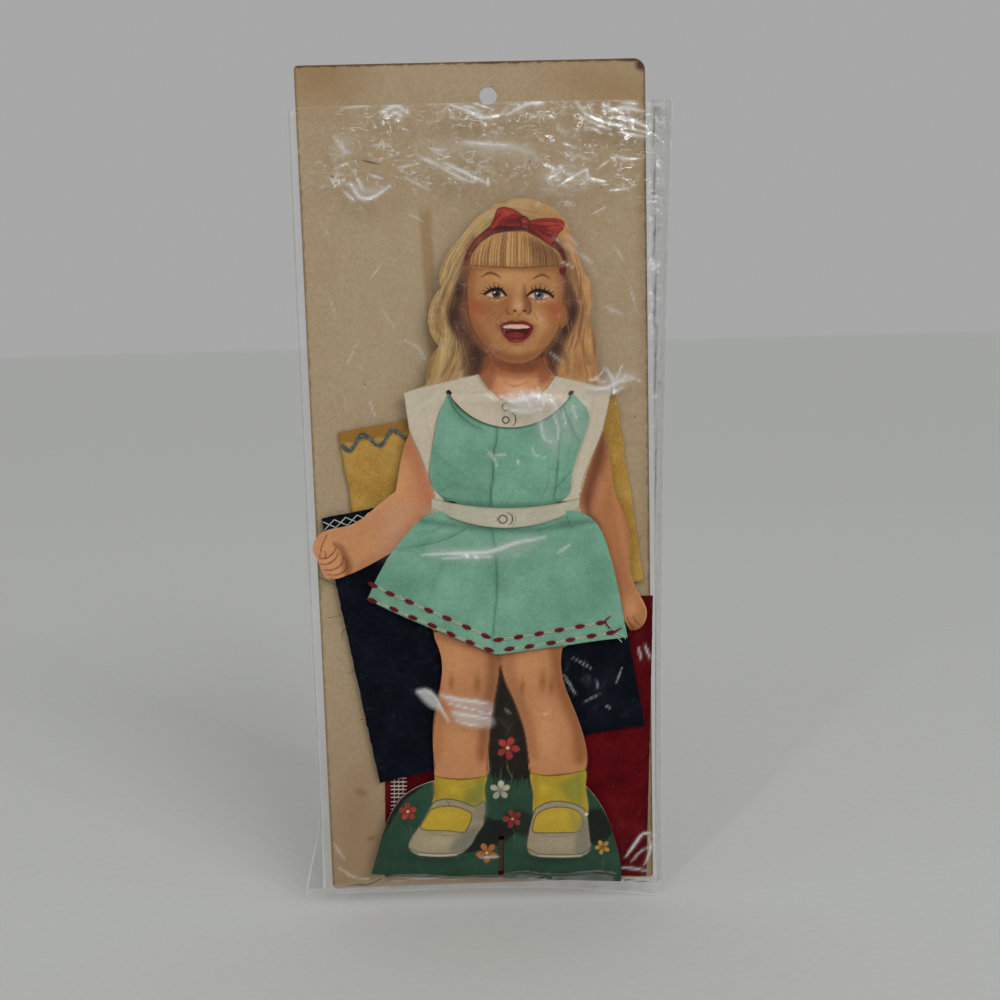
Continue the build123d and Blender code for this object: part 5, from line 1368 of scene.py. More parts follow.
def finish_nodes(name, start, tree, inputs, body):
    """Runs a Geometry Nodes tree on a start object and keeps its result as a plain mesh."""
    maker = start.modifiers.new("maker", "NODES")
    maker.node_group = tree
    names = {item.name: item.identifier for item in tree.interface.items_tree if item.in_out == "INPUT"}
    for label, value in inputs.items():
        maker[names[label]] = value
    graph = bpy.context.evaluated_depsgraph_get()
    mesh = bpy.data.meshes.new_from_object(start.evaluated_get(graph), depsgraph=graph)
    start.modifiers.clear()
    bpy.data.objects.remove(start)
    mesh.name = name
    return riding(name, mesh, body)


YARN, STITCH = yarn_tree(), stitch_tree()


def yarns(name, paths, girths, finish, body, sides):
    """Round yarns along paths in metres, with one radius in millimetres or one for each point."""
    points, edges, radii = [], [], []
    for path, girth in zip(paths, girths):
        start = len(points)
        points += [tuple(p) for p in path]
        edges += [(start + k, start + k + 1) for k in range(len(path) - 1)]
        radii += list(np.broadcast_to(np.asarray(girth, float) * MM, len(path)))
    mesh = bpy.data.meshes.new(name + "_paths")
    mesh.from_pydata(points, edges, [])
    layer = mesh.attributes.new("girth", "FLOAT", "POINT")
    layer.data.foreach_set("value", np.array(radii, np.float32))
    start = bpy.data.objects.new(name + "_paths", mesh)
    bpy.context.collection.objects.link(start)
    return finish_nodes(name, start, YARN, {"Sides": sides, "Finish": finish}, body)


def stitches(name, points, turns, sizes, shape, finish, body):
    """A small shape set at points, each with its own turn and size."""
    mesh = bpy.data.meshes.new(name + "_points")
    mesh.from_pydata([tuple(p) for p in points], [], [])
    for label, values in (("turn", turns), ("size", sizes)):
        layer = mesh.attributes.new(label, "FLOAT_VECTOR", "POINT")
        layer.data.foreach_set("vector", np.asarray(values, np.float32).ravel())
    start = bpy.data.objects.new(name + "_points", mesh)
    bpy.context.collection.objects.link(start)
    return finish_nodes(name, start, STITCH, {"Shape": shape, "Finish": finish}, body)


def hair_shape():
    """One short fibre along its own X, with three sides and a fine tip."""
    rings = ((0, 0.05), (0.5, 0.04), (1, 0.012))
    points = [(x, r * math.cos(a), r * math.sin(a)) for x, r in rings for a in (0, 2.094, 4.189)]
    sides = [(3 * k + j, 3 * k + (j + 1) % 3) for k in range(2) for j in range(3)]
    faces = [(a, a + 3, b + 3, b) for a, b in sides] + [(0, 1, 2), (8, 7, 6)]
    mesh = bpy.data.meshes.new("fibre")
    mesh.from_pydata(points, [], faces)
    return bpy.data.objects.new("fibre", mesh)


def fuzz(name, roots, spread, length, girth, finish, body, seed, under):
    """Short fibres standing out of yarn at the given roots, none of them deeper forward than under."""
    rng = np.random.default_rng(seed)
    n = len(roots)
    roots = np.asarray(roots) + rng.normal(0, spread * MM, (n, 3)) * (1, 0.5, 1)
    turns = np.stack([np.zeros(n), rng.uniform(0, 6.28, n), rng.uniform(-0.45, 0.45, n)], -1)
    long = rng.uniform(0.5, 1.0, n) * length * MM
    thin = np.full(n, girth * MM * 20)
    sizes = np.stack([long, thin, thin], -1)
    pile = stitches(name, roots, turns, sizes, hair_shape(), finish, body)
    for vertex in pile.data.vertices:
        vertex.co.y = max(vertex.co.y, -under * MM)
    return pile


# ---- spare cloths -----------------------------------------------------------------------------
def cloth_sheet(name, node, place, width, height, depth, finish, body, seed, ragged,
        foot=((0, 1), (0, 0))):
    """A cut square of cloth with a slightly uneven edge, lying in soft ripples behind the board."""
    rows, columns = int(height / 0.9) + 1, int(width / 0.9) + 1
    s, t = np.meshgrid(np.linspace(0, width, columns), -np.linspace(0, height, rows))
    edge_s = np.minimum(s, width - s)
    edge_t = np.minimum(-t, height + t)
    wander_t = (layered_noise(s / 2.2, s * 0 + 3, seed) - 0.5) * 2 * ragged
    wander_s = (layered_noise(t / 2.2 + 9, t * 0 + 7, seed + 5) - 0.5) * 2 * ragged
    s = s + wander_s * np.exp(-edge_s / 0.8)
    t = t + wander_t * np.exp(-edge_t / 0.8)
    wave = (layered_noise(s / 17 + 3, t / 23 + 5, seed + 9, 3) - 0.5) * 0.20
    pucker = (value_noise(s / 3.1, t / 3.7, seed + 13) - 0.5) * 0.06
    t = t + np.interp(s / width, *foot) * (-t / height) ** 3
    piece = mesh_piece(name, on_sheet(*place, s, t, depth + wave + pucker),
        grid_faces(rows, columns, downwards=True), finish, body, uv=np.stack([s, t], -1))
    thicken(piece)
    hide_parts(node)
    return piece


def thicken(piece):
    thick = piece.modifiers.new("cloth_thickness", "SOLIDIFY")
    thick.thickness, thick.offset = CLOTH_THICKNESS, 0.0


def zigzag(start, width, lead, step, low, high, first_low=True):
    points = [start]
    s, down = lead, first_low
    while s < width - 0.5:
        points.append((s, low if down else high))
        s, down = s + step, not down
    return points


def loose_thread(start, way, length, seed):
    """A stray thread in the plane of a cloth: points along and across from where it leaves."""
    rng, curl = random.Random(seed), 0.6
    angle, bend = math.atan2(way[1], way[0]), rng.uniform(-1, 1) * curl
    s, t, path = start[0], start[1], [start]
    for _ in range(10):
        bend += rng.uniform(-0.5, 0.5) * curl
        angle += bend * 0.22
        s, t = s + math.cos(angle) * length / 10, t + math.sin(angle) * length / 10
        path.append((s, t))
    return smooth_line(path, steps=3)


def stray_threads(name, place, depth, seed, starts, finish, body):
    """Loose threads at a cloth's edges: where each one leaves, which way, and how long it is."""
    paths = [on_sheet(*place, *loose_thread(*start, seed + k).T, depth) for k, start in enumerate(starts)]
    return yarns(name, paths, [0.07] * len(paths), finish, body, 4)


def make_spare_cloths():
    """The three spare cloths, each with its own stitching."""
    mustard = woven_finish("mustard_cotton", seen(122, 90, 36), seen(156, 120, 56), seen(178, 144, 80),
        0.5, hem=seen(124, 84, 36))
    navy = woven_finish("navy_cotton", seen(1, 2, 7), seen(4, 8, 16), seen(14, 20, 34), 0.45)
    red = woven_finish("red_cotton", seen(46, 1, 4), seen(76, 3, 9), seen(98, 14, 22), 0.4)
    white = thread_finish("white_thread", seen(140, 138, 130), seen(188, 186, 176), 1600, 0.1)
    yellow = cloth_sheet("yellow_cloth_sheet", "yellow_cloth", YELLOW, 105.0, 75.5, 1.825, mustard,
        "yellow", 11, 0.45)
    blue = cloth_sheet("navy_cloth_sheet", "navy_cloth", NAVY, 105.5, 104.5, 3.025, navy, "navy",
        12, 0.3, foot=((0, 0.18, 0.6, 0.86, 1), (-1.6, -0.9, 1.6, 1.4, 0.2)))
    crimson = cloth_sheet("red_cloth_sheet", "red_cloth", RED, 103.3, 113.5, 0.925, red, "red",
        13, 0.12)
    sew_yellow_cloth()
    sew_navy_cloth(white)
    sew_red_cloth(white)


def sew_yellow_cloth():
    """Fuzzy yarn couched in a zigzag along the top of the yellow cloth."""
    chenille = thread_finish("chenille_yarn", seen(28, 42, 48), seen(104, 122, 124), 1100, 0.1)
    corners = np.array(zigzag((0.8, -5), 105.0, 3.3, 5.7, -7.5, -2.5))
    curved = smooth_line(corners, steps=24)
    share = np.linspace(0, len(corners) - 1, len(curved))
    straight = np.stack([np.interp(share, np.arange(len(corners)), corners[:, k]) for k in (0, 1)], -1)
    line = 0.5 * (curved + straight)
    twisted = []
    for start in (0, math.pi):
        twist = running_length(line) * 2 * math.pi / 1.7 + start
        twisted.append(on_sheet(*YELLOW, line[:, 0], line[:, 1] + 0.24 * np.cos(twist),
            2.3 + 0.17 * np.sin(twist)))
    core_yarn = yarns("chenille_core", twisted, [0.27, 0.27], chenille, "yellow", 6)
    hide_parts("yellow_cloth_zigzag")
    dense = np.repeat(smooth_line(corners, steps=60), 3, 0)
    roots = on_sheet(*YELLOW, *dense.T, 2.4)
    pile = fuzz("chenille_pile", roots, 0.2, 1.3, 0.06, chenille, "yellow", 41, 2.8)
    mustard_thread = thread_finish("mustard_thread", seen(124, 94, 40), seen(176, 142, 80), 1200, 0.3)
    ends = stray_threads("yellow_cloth_strays", YELLOW, 2.05, 0, (((104.8, -4), (1, 0.2), 7),
        ((104.8, -9), (1, -0.6), 9), ((105, -20), (0.6, -1), 8), ((105, -33), (1, 0.5), 5),
        ((105, -44), (0.7, -1), 9), ((105, -58), (1, -0.2), 5), ((104.6, -75), (0.4, -1), 4),
        ((0, -8), (-1, 0.4), 3)), mustard_thread, "yellow")


def sew_navy_cloth(white):
    """Two crossing white zigzags along the top of the navy cloth."""
    paths, foot, top = [], -4.45, -1.35
    for first in (True, False):
        line = np.array(zigzag((0.3, foot if first else top), 105.5, 4.6, 4.4, foot, top, not first))
        for j, (near, far) in enumerate(zip(line[:-1], line[1:])):
            bar = near + (far - near) * np.linspace(0, 1, 7)[:, None]
            hump = 3.38 + 0.10 * np.sin(np.linspace(0, math.pi, 7)) * (1 if (j % 2) == first else 0.2)
            paths.append(on_sheet(*NAVY, *bar.T, hump))
    cross = yarns("navy_cross_stitches", paths, [0.21] * len(paths), white, "navy", 6)
    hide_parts("navy_cloth_zigzag")
    dark = thread_finish("navy_thread", seen(4, 6, 12), seen(26, 28, 38), 1200, 0.0)
    ends = stray_threads("navy_cloth_strays", NAVY, 3.1, 60, (((0, -26), (-1, 0.5), 7),
        ((0.2, -38), (-1, 0.1), 6), ((0.2, -43), (-1, -0.5), 5), ((0.2, -60), (-1, -0.4), 4),
        ((0.2, -80), (-1, 0.3), 3), ((105, -62), (1, 0.3), 3), ((105, -90), (1, -0.4), 4),
        ((40, -104), (0.2, -1), 3), ((80, -104.3), (-0.3, -1), 3.4)), dark, "navy")


def sew_red_cloth(white):
    """A ladder stitch down the left side of the red cloth: rungs, and three rails over them."""
    paths, girths = [], []
    rng = random.Random(5)
    rungs, pitch = 67, 1.6
    for k in range(rungs):
        t = -113.5 / 2 + (k - (rungs - 1) / 2) * pitch + rng.uniform(-0.12, 0.12)
        s = np.linspace(2.1 + rng.uniform(-0.15, 0.15), 8.5 + rng.uniform(-0.15, 0.15), 9)
        d = 1.19 + 0.12 * np.sin(np.linspace(0, math.pi, 9)) + 0.02 * rng.random()
        paths.append(on_sheet(*RED, s, t + 0.10 * np.sin(np.linspace(0, 3, 9)), d))
        girths.append(0.27 * np.sin(np.linspace(0.5, math.pi - 0.5, 9)) ** 0.4)
    for s in (3.6, 5.3, 7.0):
        t = -np.linspace(3.4, 110.1, 140)
        paths.append(on_sheet(*RED, s + 0.16 * np.sin(t * 3.93), t, 1.40 + 0.06 * np.cos(t * 3.93)))
        girths.append(0.13)
    ladder = yarns("red_ladder_stitches", paths, girths, white, "red", 5)
    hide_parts("red_cloth_ladder_stitch")


# ---- dress ------------------------------------------------------------------------------------
DRESS_LEFT = [(-20.9, 189.8), (-24.6, 181), (-26.7, 169), (-27.6, 158.5), (-24.6, 153), (-18.3, 149.3),
    (-18.4, 146.2), (-26.4, 145), (-31.5, 142.2), (-40.9, 131.8), (-46.8, 122), (-51.4, 111.9)]
DRESS_RIGHT = [(25.4, 190), (30.6, 184.4), (31.3, 179.5), (27.7, 168.4), (25.4, 160), (24.6, 152.6),
    (19.8, 148.8), (19.4, 146.4), (29.6, 145.2), (36.5, 139.2), (41.2, 126), (44.6, 112), (47.5, 97.5)]
DRESS_TOP = [(-20.9, 189.8), (-17.3, 185.3), (-10, 184.5), (0, 184.1), (12, 184.5),
    (20.6, 185.5), (25.4, 190)]
DRESS_HEM = [(-51.4, 111.9), (-40, 106.4), (-27, 100.7), (-14, 95.2), (-2.9, 90.6), (10, 92.2),
    (24, 94.2), (36, 96), (47.5, 97.5)]


def dress_depth(u, v):
    """How far forward the front of the cloth lies: folded down the skirt, flat at collar and belt."""
    skirt = np.clip((141 - v) / 46, 0, 1)
    below = np.clip((143 - v) / 8, 0, 1)
    x = u + 2.9
    fan = x / (24 + 34 * skirt)
    folds = 0.33 * np.sin(fan * 7.4 + 1.0) + 0.22 * np.sin(
        fan * 12.5 + 2.1) + 0.12 * np.sin(fan * 21 + 0.4)
    crease = -0.55 * np.exp(-((u - np.interp(v, [90, 97, 116, 129, 140],
        [-3.4, -3.9, -2.5, -2.9, -4.6])) / 1.2) ** 2)
    sweep = (v - 138.3) - (u + 12.3) * 0.284
    upper = -0.30 * np.exp(-(sweep / 1.0) ** 2) * np.clip((-11 - u) / 4, 0, 1) * np.clip((u + 36) / 4,
        0, 1)
    belly = 0.55 * skirt ** 0.8
    skirt_form = below * (belly + 0.55 * skirt * folds + crease * (0.35 + 0.5 * skirt) + upper)
    bodice = 1 - below
    bib = np.clip((v - 150) / 5, 0, 1) * np.clip((186.5 - v) / 6, 0, 1)
    chest = 0.16 + 0.16 * np.sin((u + 30) / 8.5 + (v - 150) / 30)
    pinch = -0.34 * np.exp(-((u - np.interp(v, [147, 177], [-5.0, -3.3])) / 0.8) ** 2)
    pinch += -0.34 * np.exp(-((u - np.interp(v, [149, 173, 188], [19.8, 24.6, 24.0])) / 0.8) ** 2)
    pinch += -0.22 * np.exp(-(((v - 158.5) - (u + 20) * 0.42) / 0.7) ** 2) * np.exp(-((u + 17) / 7) ** 2)
    pinch += -0.20 * np.exp(-(((v - 162) + (u - 16) * 0.35) / 0.8) ** 2) * np.exp(-((u - 17) / 6) ** 2)
    pinch += -0.18 * np.exp(-((v - 153.0 - 0.9 * np.sin(u / 3.4)) / 0.8) ** 2)
    small = (layered_noise(u / 5, v / 6, 91, 4) - 0.5) * 0.22
    bodice_form = bodice * bib * np.clip(chest + pinch + 0.18, 0.02, None)
    stitched = 0.14 * np.sin((u * 0.98 + v * 0.2) * 2 * math.pi / 7.4) * np.clip((118 - v) / 10,
        0, 1) * below
    total = skirt_form + bodice_form + small * (0.35 + 0.65 * skirt) * (below + bib * bodice)
    return DOLL_FRONT + 0.37 + np.clip(total + stitched * 0.5, 0, 1.28)


def dress_surface(rows, columns):
    s, t = np.linspace(0, 1, columns), np.linspace(0, 1, rows)
    left, right = (along_line(smooth_line(line, steps=10), t) for line in (DRESS_LEFT, DRESS_RIGHT))
    top, hem = along_line(smooth_line(DRESS_TOP), s), along_line(np.array(DRESS_HEM, float), s)
    S, T = s[None, :, None], t[:, None, None]
    sides = left[:, None] * (1 - S) + right[:, None] * S
    ends = top[None] * (1 - T) + hem[None] * T
    corners = ((top[0] * (1 - S) + top[-1] * S) * (1 - T) + (hem[0] * (1 - S) + hem[-1] * S) * T)
    return sides + ends - corners


# creases of the dress, painted as shade with a highlight beside each: width, share and line
CREASES = (
    (1.0, 0.62, [(-2.8, 176.9), (-2.9, 171.7), (-3.9, 167.9), (-4.1, 157.5), (-4.9, 152.4),
     (-4.9, 146.5)]),
    (1.0, 0.55, [(20.8, 187.6), (23.2, 181.9), (25.9, 175.8), (28, 172.4)]),
    (0.8, 0.55, [(20.8, 175.1), (20.3, 166.7), (19.4, 155), (18.8, 151.8), (19.8, 149)]),
    (0.8, 0.45, [(24.8, 160.9), (22, 157.3), (19.4, 155)]),
    (0.9, 0.55, [(-5, 140.4), (-4, 136.7), (-2.8, 127.5), (-2.4, 114.2), (-3.2, 105.5), (-4, 95.8)]),
    (1.0, 0.55, [(-12.2, 140.3), (-21.9, 135), (-32.9, 132.3), (-42.6, 131)]),
    (0.8, 0.50, [(13.2, 138.4), (22.9, 141.7), (33.9, 142)]),
    (0.8, 0.5, [(23.8, 143.6), (24.6, 141.4), (25.5, 139.7)]),
    (0.7, 0.22, [(-26.6, 168.4), (-20, 163), (-13.8, 158.9)]),
    (0.7, 0.2, [(-24.6, 160), (-18, 156.2), (-12.4, 154.6)]),
    (0.7, 0.15, [(3.4, 158), (9.4, 154.4), (17.2, 154)]),
    (0.8, 0.14, [(-20.6, 130), (-26, 118), (-30, 108)]),
    (1.4, 0.62, [(-20.6, 189), (-19.6, 186), (-16.8, 182.2), (-12.4, 178.6), (-8.6, 176.8)]),
    (0.7, 0.26, [(-24.6, 152.6), (-20, 155.4), (-15.4, 156)]),
    (0.9, 0.45, [(-5, 156), (-4.9, 152.4), (-4.6, 147.6)]),
    (0.6, 0.22, [(14, 150.4), (16.4, 156), (17, 161.4)]),
    (0.6, 0.3, [(-21.6, 141.4), (-26.4, 138.2), (-33.4, 137.6)]),
)


def dress_greying_and_painted_light(u, v):
    """Painted shade and highlights in the creases, greyed places, painted highlights on bodice and skirt,
    and painted shadow under the collar and along the belt, as a share of the dye's colour.
    """
    p = Print(np.stack([u, v], -1), (1.0, 1.0, 1.0))
    # the first three patches are greyed places; the two lighter ones are painted highlights
    for patch, tone, soft, share in (
            ([(-27, 168), (-22, 166), (-12, 158), (-6, 150), (-12, 147), (-27, 150)], (0.80, 0.84, 0.84),
            5, 0.8), ([(-50, 124), (-42, 126), (-34, 121), (-36, 110), (-52, 114)], (0.78, 0.82, 0.82),
            6, 0.8), ([(31, 134), (37, 128), (41, 116), (36, 104), (28, 108), (30, 122)],
            (0.80, 0.84, 0.84), 5, 0.8),
            ([(2, 182), (16, 182), (19, 166), (8, 152), (0, 158)], (1.10, 1.10, 1.10), 8, 0.8),
            ([(-22, 128), (-8, 132), (-8, 104), (-20, 108)], (1.08, 1.08, 1.07), 6, 0.8)):
        p.shade(patch, tone, soft, share)
    # each crease is painted as a dark shade, with a painted highlight beside it
    for width, share, line in CREASES:
        p.stroke(line, (0.56, 0.63, 0.63), width * 2.8, share * 0.75, soft=2.4)
        p.stroke(line, (0.24, 0.31, 0.33), width * 0.62, min(1.0, share * 1.35), soft=0.6)
        p.stroke([(a + 1.3, b) for a, b in line], (1.20, 1.20, 1.18), width, share * 0.7, soft=1.4)
    # painted shadow along the belt's top and foot
    p.shade([(-28, 148.4), (-10, 146.6), (10, 146.4), (28, 148.6), (28, 151.2), (10, 149), (-10, 149.2),
        (-28, 151.2)], (0.42, 0.48, 0.50), 1.4, 0.75)
    p.shade([(-34, 143.6), (-12, 140.6), (10, 139.6), (34, 143.2), (34, 141.4), (10, 137.8),
        (-12, 138.6), (-34, 141.6)], (0.45, 0.50, 0.52), 1.4, 0.75)
    # painted shadow under the collar flap's curved edge
    arc = [(a, collar_edge(a, COLLAR_FOOT - 0.4)) for a in np.linspace(-20, 24, 15)]
    p.stroke(arc, (0.30, 0.36, 0.37), 1.5, 0.75, taper=(1.2, 0.9, 0.5, 0.3, 0.6, 1.0), soft=1.1)
    everywhere = np.arange(len(u))
    p.mottle(everywhere, 9.0, 0.05, 35)
    p.mottle(everywhere, 1.7, 0.06, 36)
    return np.hstack([p.colour, np.ones((len(u), 1))])


def make_dress():
    teal = woven_finish("teal_cotton", seen(82, 123, 103), seen(102, 144, 122), seen(119, 159, 138),
        0.46, with_greying_and_light=True)
    rows, columns = 230, 190
    flat = dress_surface(rows, columns)
    u, v = flat[..., 0].ravel(), flat[..., 1].ravel()
    ragged = (layered_noise(u / 1.3, v / 1.3, 7) - 0.5) * 0.35
    column = np.tile(np.arange(columns), rows)
    u = u + ragged * ((column < 1) | (column > columns - 2))
    dress = mesh_piece("teal_dress_sheet", on_doll(u, v, dress_depth(u, v) - 0.15),
        grid_faces(rows, columns, downwards=True), teal, "doll", uv=np.stack([u, v], -1),
        colours={"greying_and_painted_light": dress_greying_and_painted_light(u, v)})
    thicken(dress)
    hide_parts("teal_dress_cloth")
    trims = make_hem()


HEM_ROWS = (
    [(-49.1, 117.6), (-42.7, 114.3), (-35.5, 111.2), (-28.1, 107.9), (-21.2, 104.8), (-13.8, 101.4),
     (-6.5, 98)],
    [(-49.4, 111.6), (-41.3, 108.3), (-34.2, 105.1), (-26.8, 102), (-19.7, 98.6), (-12.4, 95.4),
     (-5.3, 92.6)],
    [(-1.5, 96.6), (6, 97.6), (13.8, 98.9), (21.5, 100.3), (29.3, 101.7), (37.2, 103.1)],
    [(2.6, 93), (10.2, 93.9), (18.4, 95.3), (25.8, 96.5), (33.8, 98), (41.2, 99.3)],
)


def over_dress(u, v, lift):
    """Points on the doll that lie a lift over the front of the cloth."""
    return on_doll(u, v, dress_depth(u, v) + lift)


def make_hem():
    """Red running stitches of thick flat yarn, whipped with a doubled cream thread."""
    crimson = thread_finish("red_yarn", seen(58, 8, 16), seen(112, 28, 38), 1500, 0.05)
    cream = thread_finish("cream_thread", seen(150, 144, 122), seen(196, 190, 168), 1700, 0.1)
    rng = random.Random(17)
    red_paths, red_girths, cream_paths, cream_girths = [], [], [], []
    for row in HEM_ROWS:
        row = np.array(row)
        way = np.diff(row, axis=0)
        way = np.vstack([way, way[-1:]])
        way = way / np.hypot(*way.T)[:, None]
        for (u, v), (du, dv) in zip(row, way):
            nu, nv = -dv, du
            tilt = rng.uniform(-0.12, 0.12)
            for side in (-1.5, -0.5, 0.5, 1.5):
                k = np.linspace(-1, 1, 9)
                bulge = side * 0.42 * np.cos(k * 1.5) + tilt * k
                pu = u + du * k * 2.25 + nu * bulge
                pv = v + dv * k * 2.25 + nv * bulge
                red_paths.append(over_dress(pu, pv, 0.10 + 0.30 * np.cos(k * 1.4) - 0.05 * abs(side)))
                red_girths.append(0.25 * np.cos(k * 1.3) + 0.03)
        for a, b in zip(row[:-1], row[1:]):
            d = (b - a) / np.hypot(*(b - a))
            n = np.array([-d[1], d[0]])
            a, b = a + d * 1.7, b - d * 1.7
            k = np.linspace(0, 1, 10)
            for side in (-0.32, 0.30):
                wobble = side * np.cos((k - 0.5) * 2.2) + 0.08 * np.sin(k * 7 + rng.uniform(0, 6))
                line = a + (b - a) * k[:, None] + n * wobble[:, None]
                cream_paths.append(over_dress(*line.T, 0.20 + 0.12 * np.sin(k * math.pi)))
                cream_girths.append(0.12)
            for _ in range(3):
                share = rng.random()
                root = a + (b - a) * share
                tip = root + n * rng.uniform(-1.2, 1.2) + d * rng.uniform(-0.8, 0.8)
                line = root + (tip - root) * np.linspace(0, 1, 4)[:, None]
                cream_paths.append(over_dress(*line.T, 0.3))
                cream_girths.append(0.035)
    for start, size, turn in (((38.4, 103.6), 3.4, 0.75), ((38.6, 103.6), 3.6, -0.9),
            ((42.6, 99.8), 3.0, 0.5)):
        k = np.linspace(0, 1, 8)
        u = start[0] + size * k * math.cos(turn)
        v = start[1] + size * k * math.sin(turn)
        red_paths.append(over_dress(u, v, 0.45))
        red_girths.append(0.34 * np.sin(0.6 + k * 2.2))
    for path in ([(41.2, 99.3), (43.6, 99), (46, 98), (46.8, 96.9)],
            [(41.2, 99.1), (43.4, 97.7), (45.4, 95.6)], [(37.2, 103.1), (39.6, 105), (40.8, 107.2)],
            [(37.4, 103), (40.2, 102.2), (42.6, 100.4)]):
        line = smooth_line(path, steps=5)
        cream_paths.append(on_doll(line[:, 0], line[:, 1], dress_depth(line[:, 0],
            np.maximum(line[:, 1], 96.5)) + 0.25))
        cream_girths.append(0.14)
    red = yarns("hem_red_yarn", red_paths, red_girths, crimson, "doll", 6)
    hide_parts("hem_stitches_red")
    thread = yarns("hem_cream_yarn", cream_paths, cream_girths, cream, "doll", 6)
    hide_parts("hem_thread_cream")
    return [red, thread]


# ---- clear pouch --------------------------------------------------------------------------------
def side_lines(z):
    """Left and right edges of the pouch's hollow at a height."""
    t = (MOUTH - z) / (MOUTH - FLOOR)
    left = -71.9 + (-72.9 + 71.9) * t
    right = 66.2 * (1 - t) * (1 - 2 * t) + 4 * 61.4 * t * (1 - t) + 59.8 * t * (2 * t - 1)
    return left, right


def crumple(x, z, seed, scale, ridge=2.2):
    """Sharp-edged crinkles: folded noise."""
    a = layered_noise(x / scale, z / scale, seed, 4)
    b = layered_noise(x / scale * 0.7 + 11, z / scale * 1.2 + 5, seed + 20, 3)
    return (1 - np.abs(2 * a - 1)) ** ridge + 0.6 * (1 - np.abs(2 * b - 1)) ** ridge


def crumple_places(x, z):
    """Where the film is most creased: near the mouth, the lower corners and the right side."""
    spots = ((-53, -30, 12, 12), (-31, -6, 12, 5), (4, -8, 20, 6), (42, -9, 16, 8), (54, -28, 8, 22),
        (-14, -28, 16, 8), (28, -28, 14, 8), (60, -60, 5, 80), (44, -106, 12, 8), (12, -110, 16, 5),
        (-2, -166, 26, 5), (-18, -226, 20, 10), (50, -286, 14, 12), (-60, -292, 12, 8), (0, -297, 60, 4),
        (62, -190, 4, 60), (-71, -160, 3, 120), (26, -216, 12, 10))
    total = 0
    for cx, cz, wx, wz in spots:
        total = total + np.exp(-((x - cx) / wx) ** 2 - ((z - cz) / wz) ** 2)
    return np.clip(total, 0, 1.2)
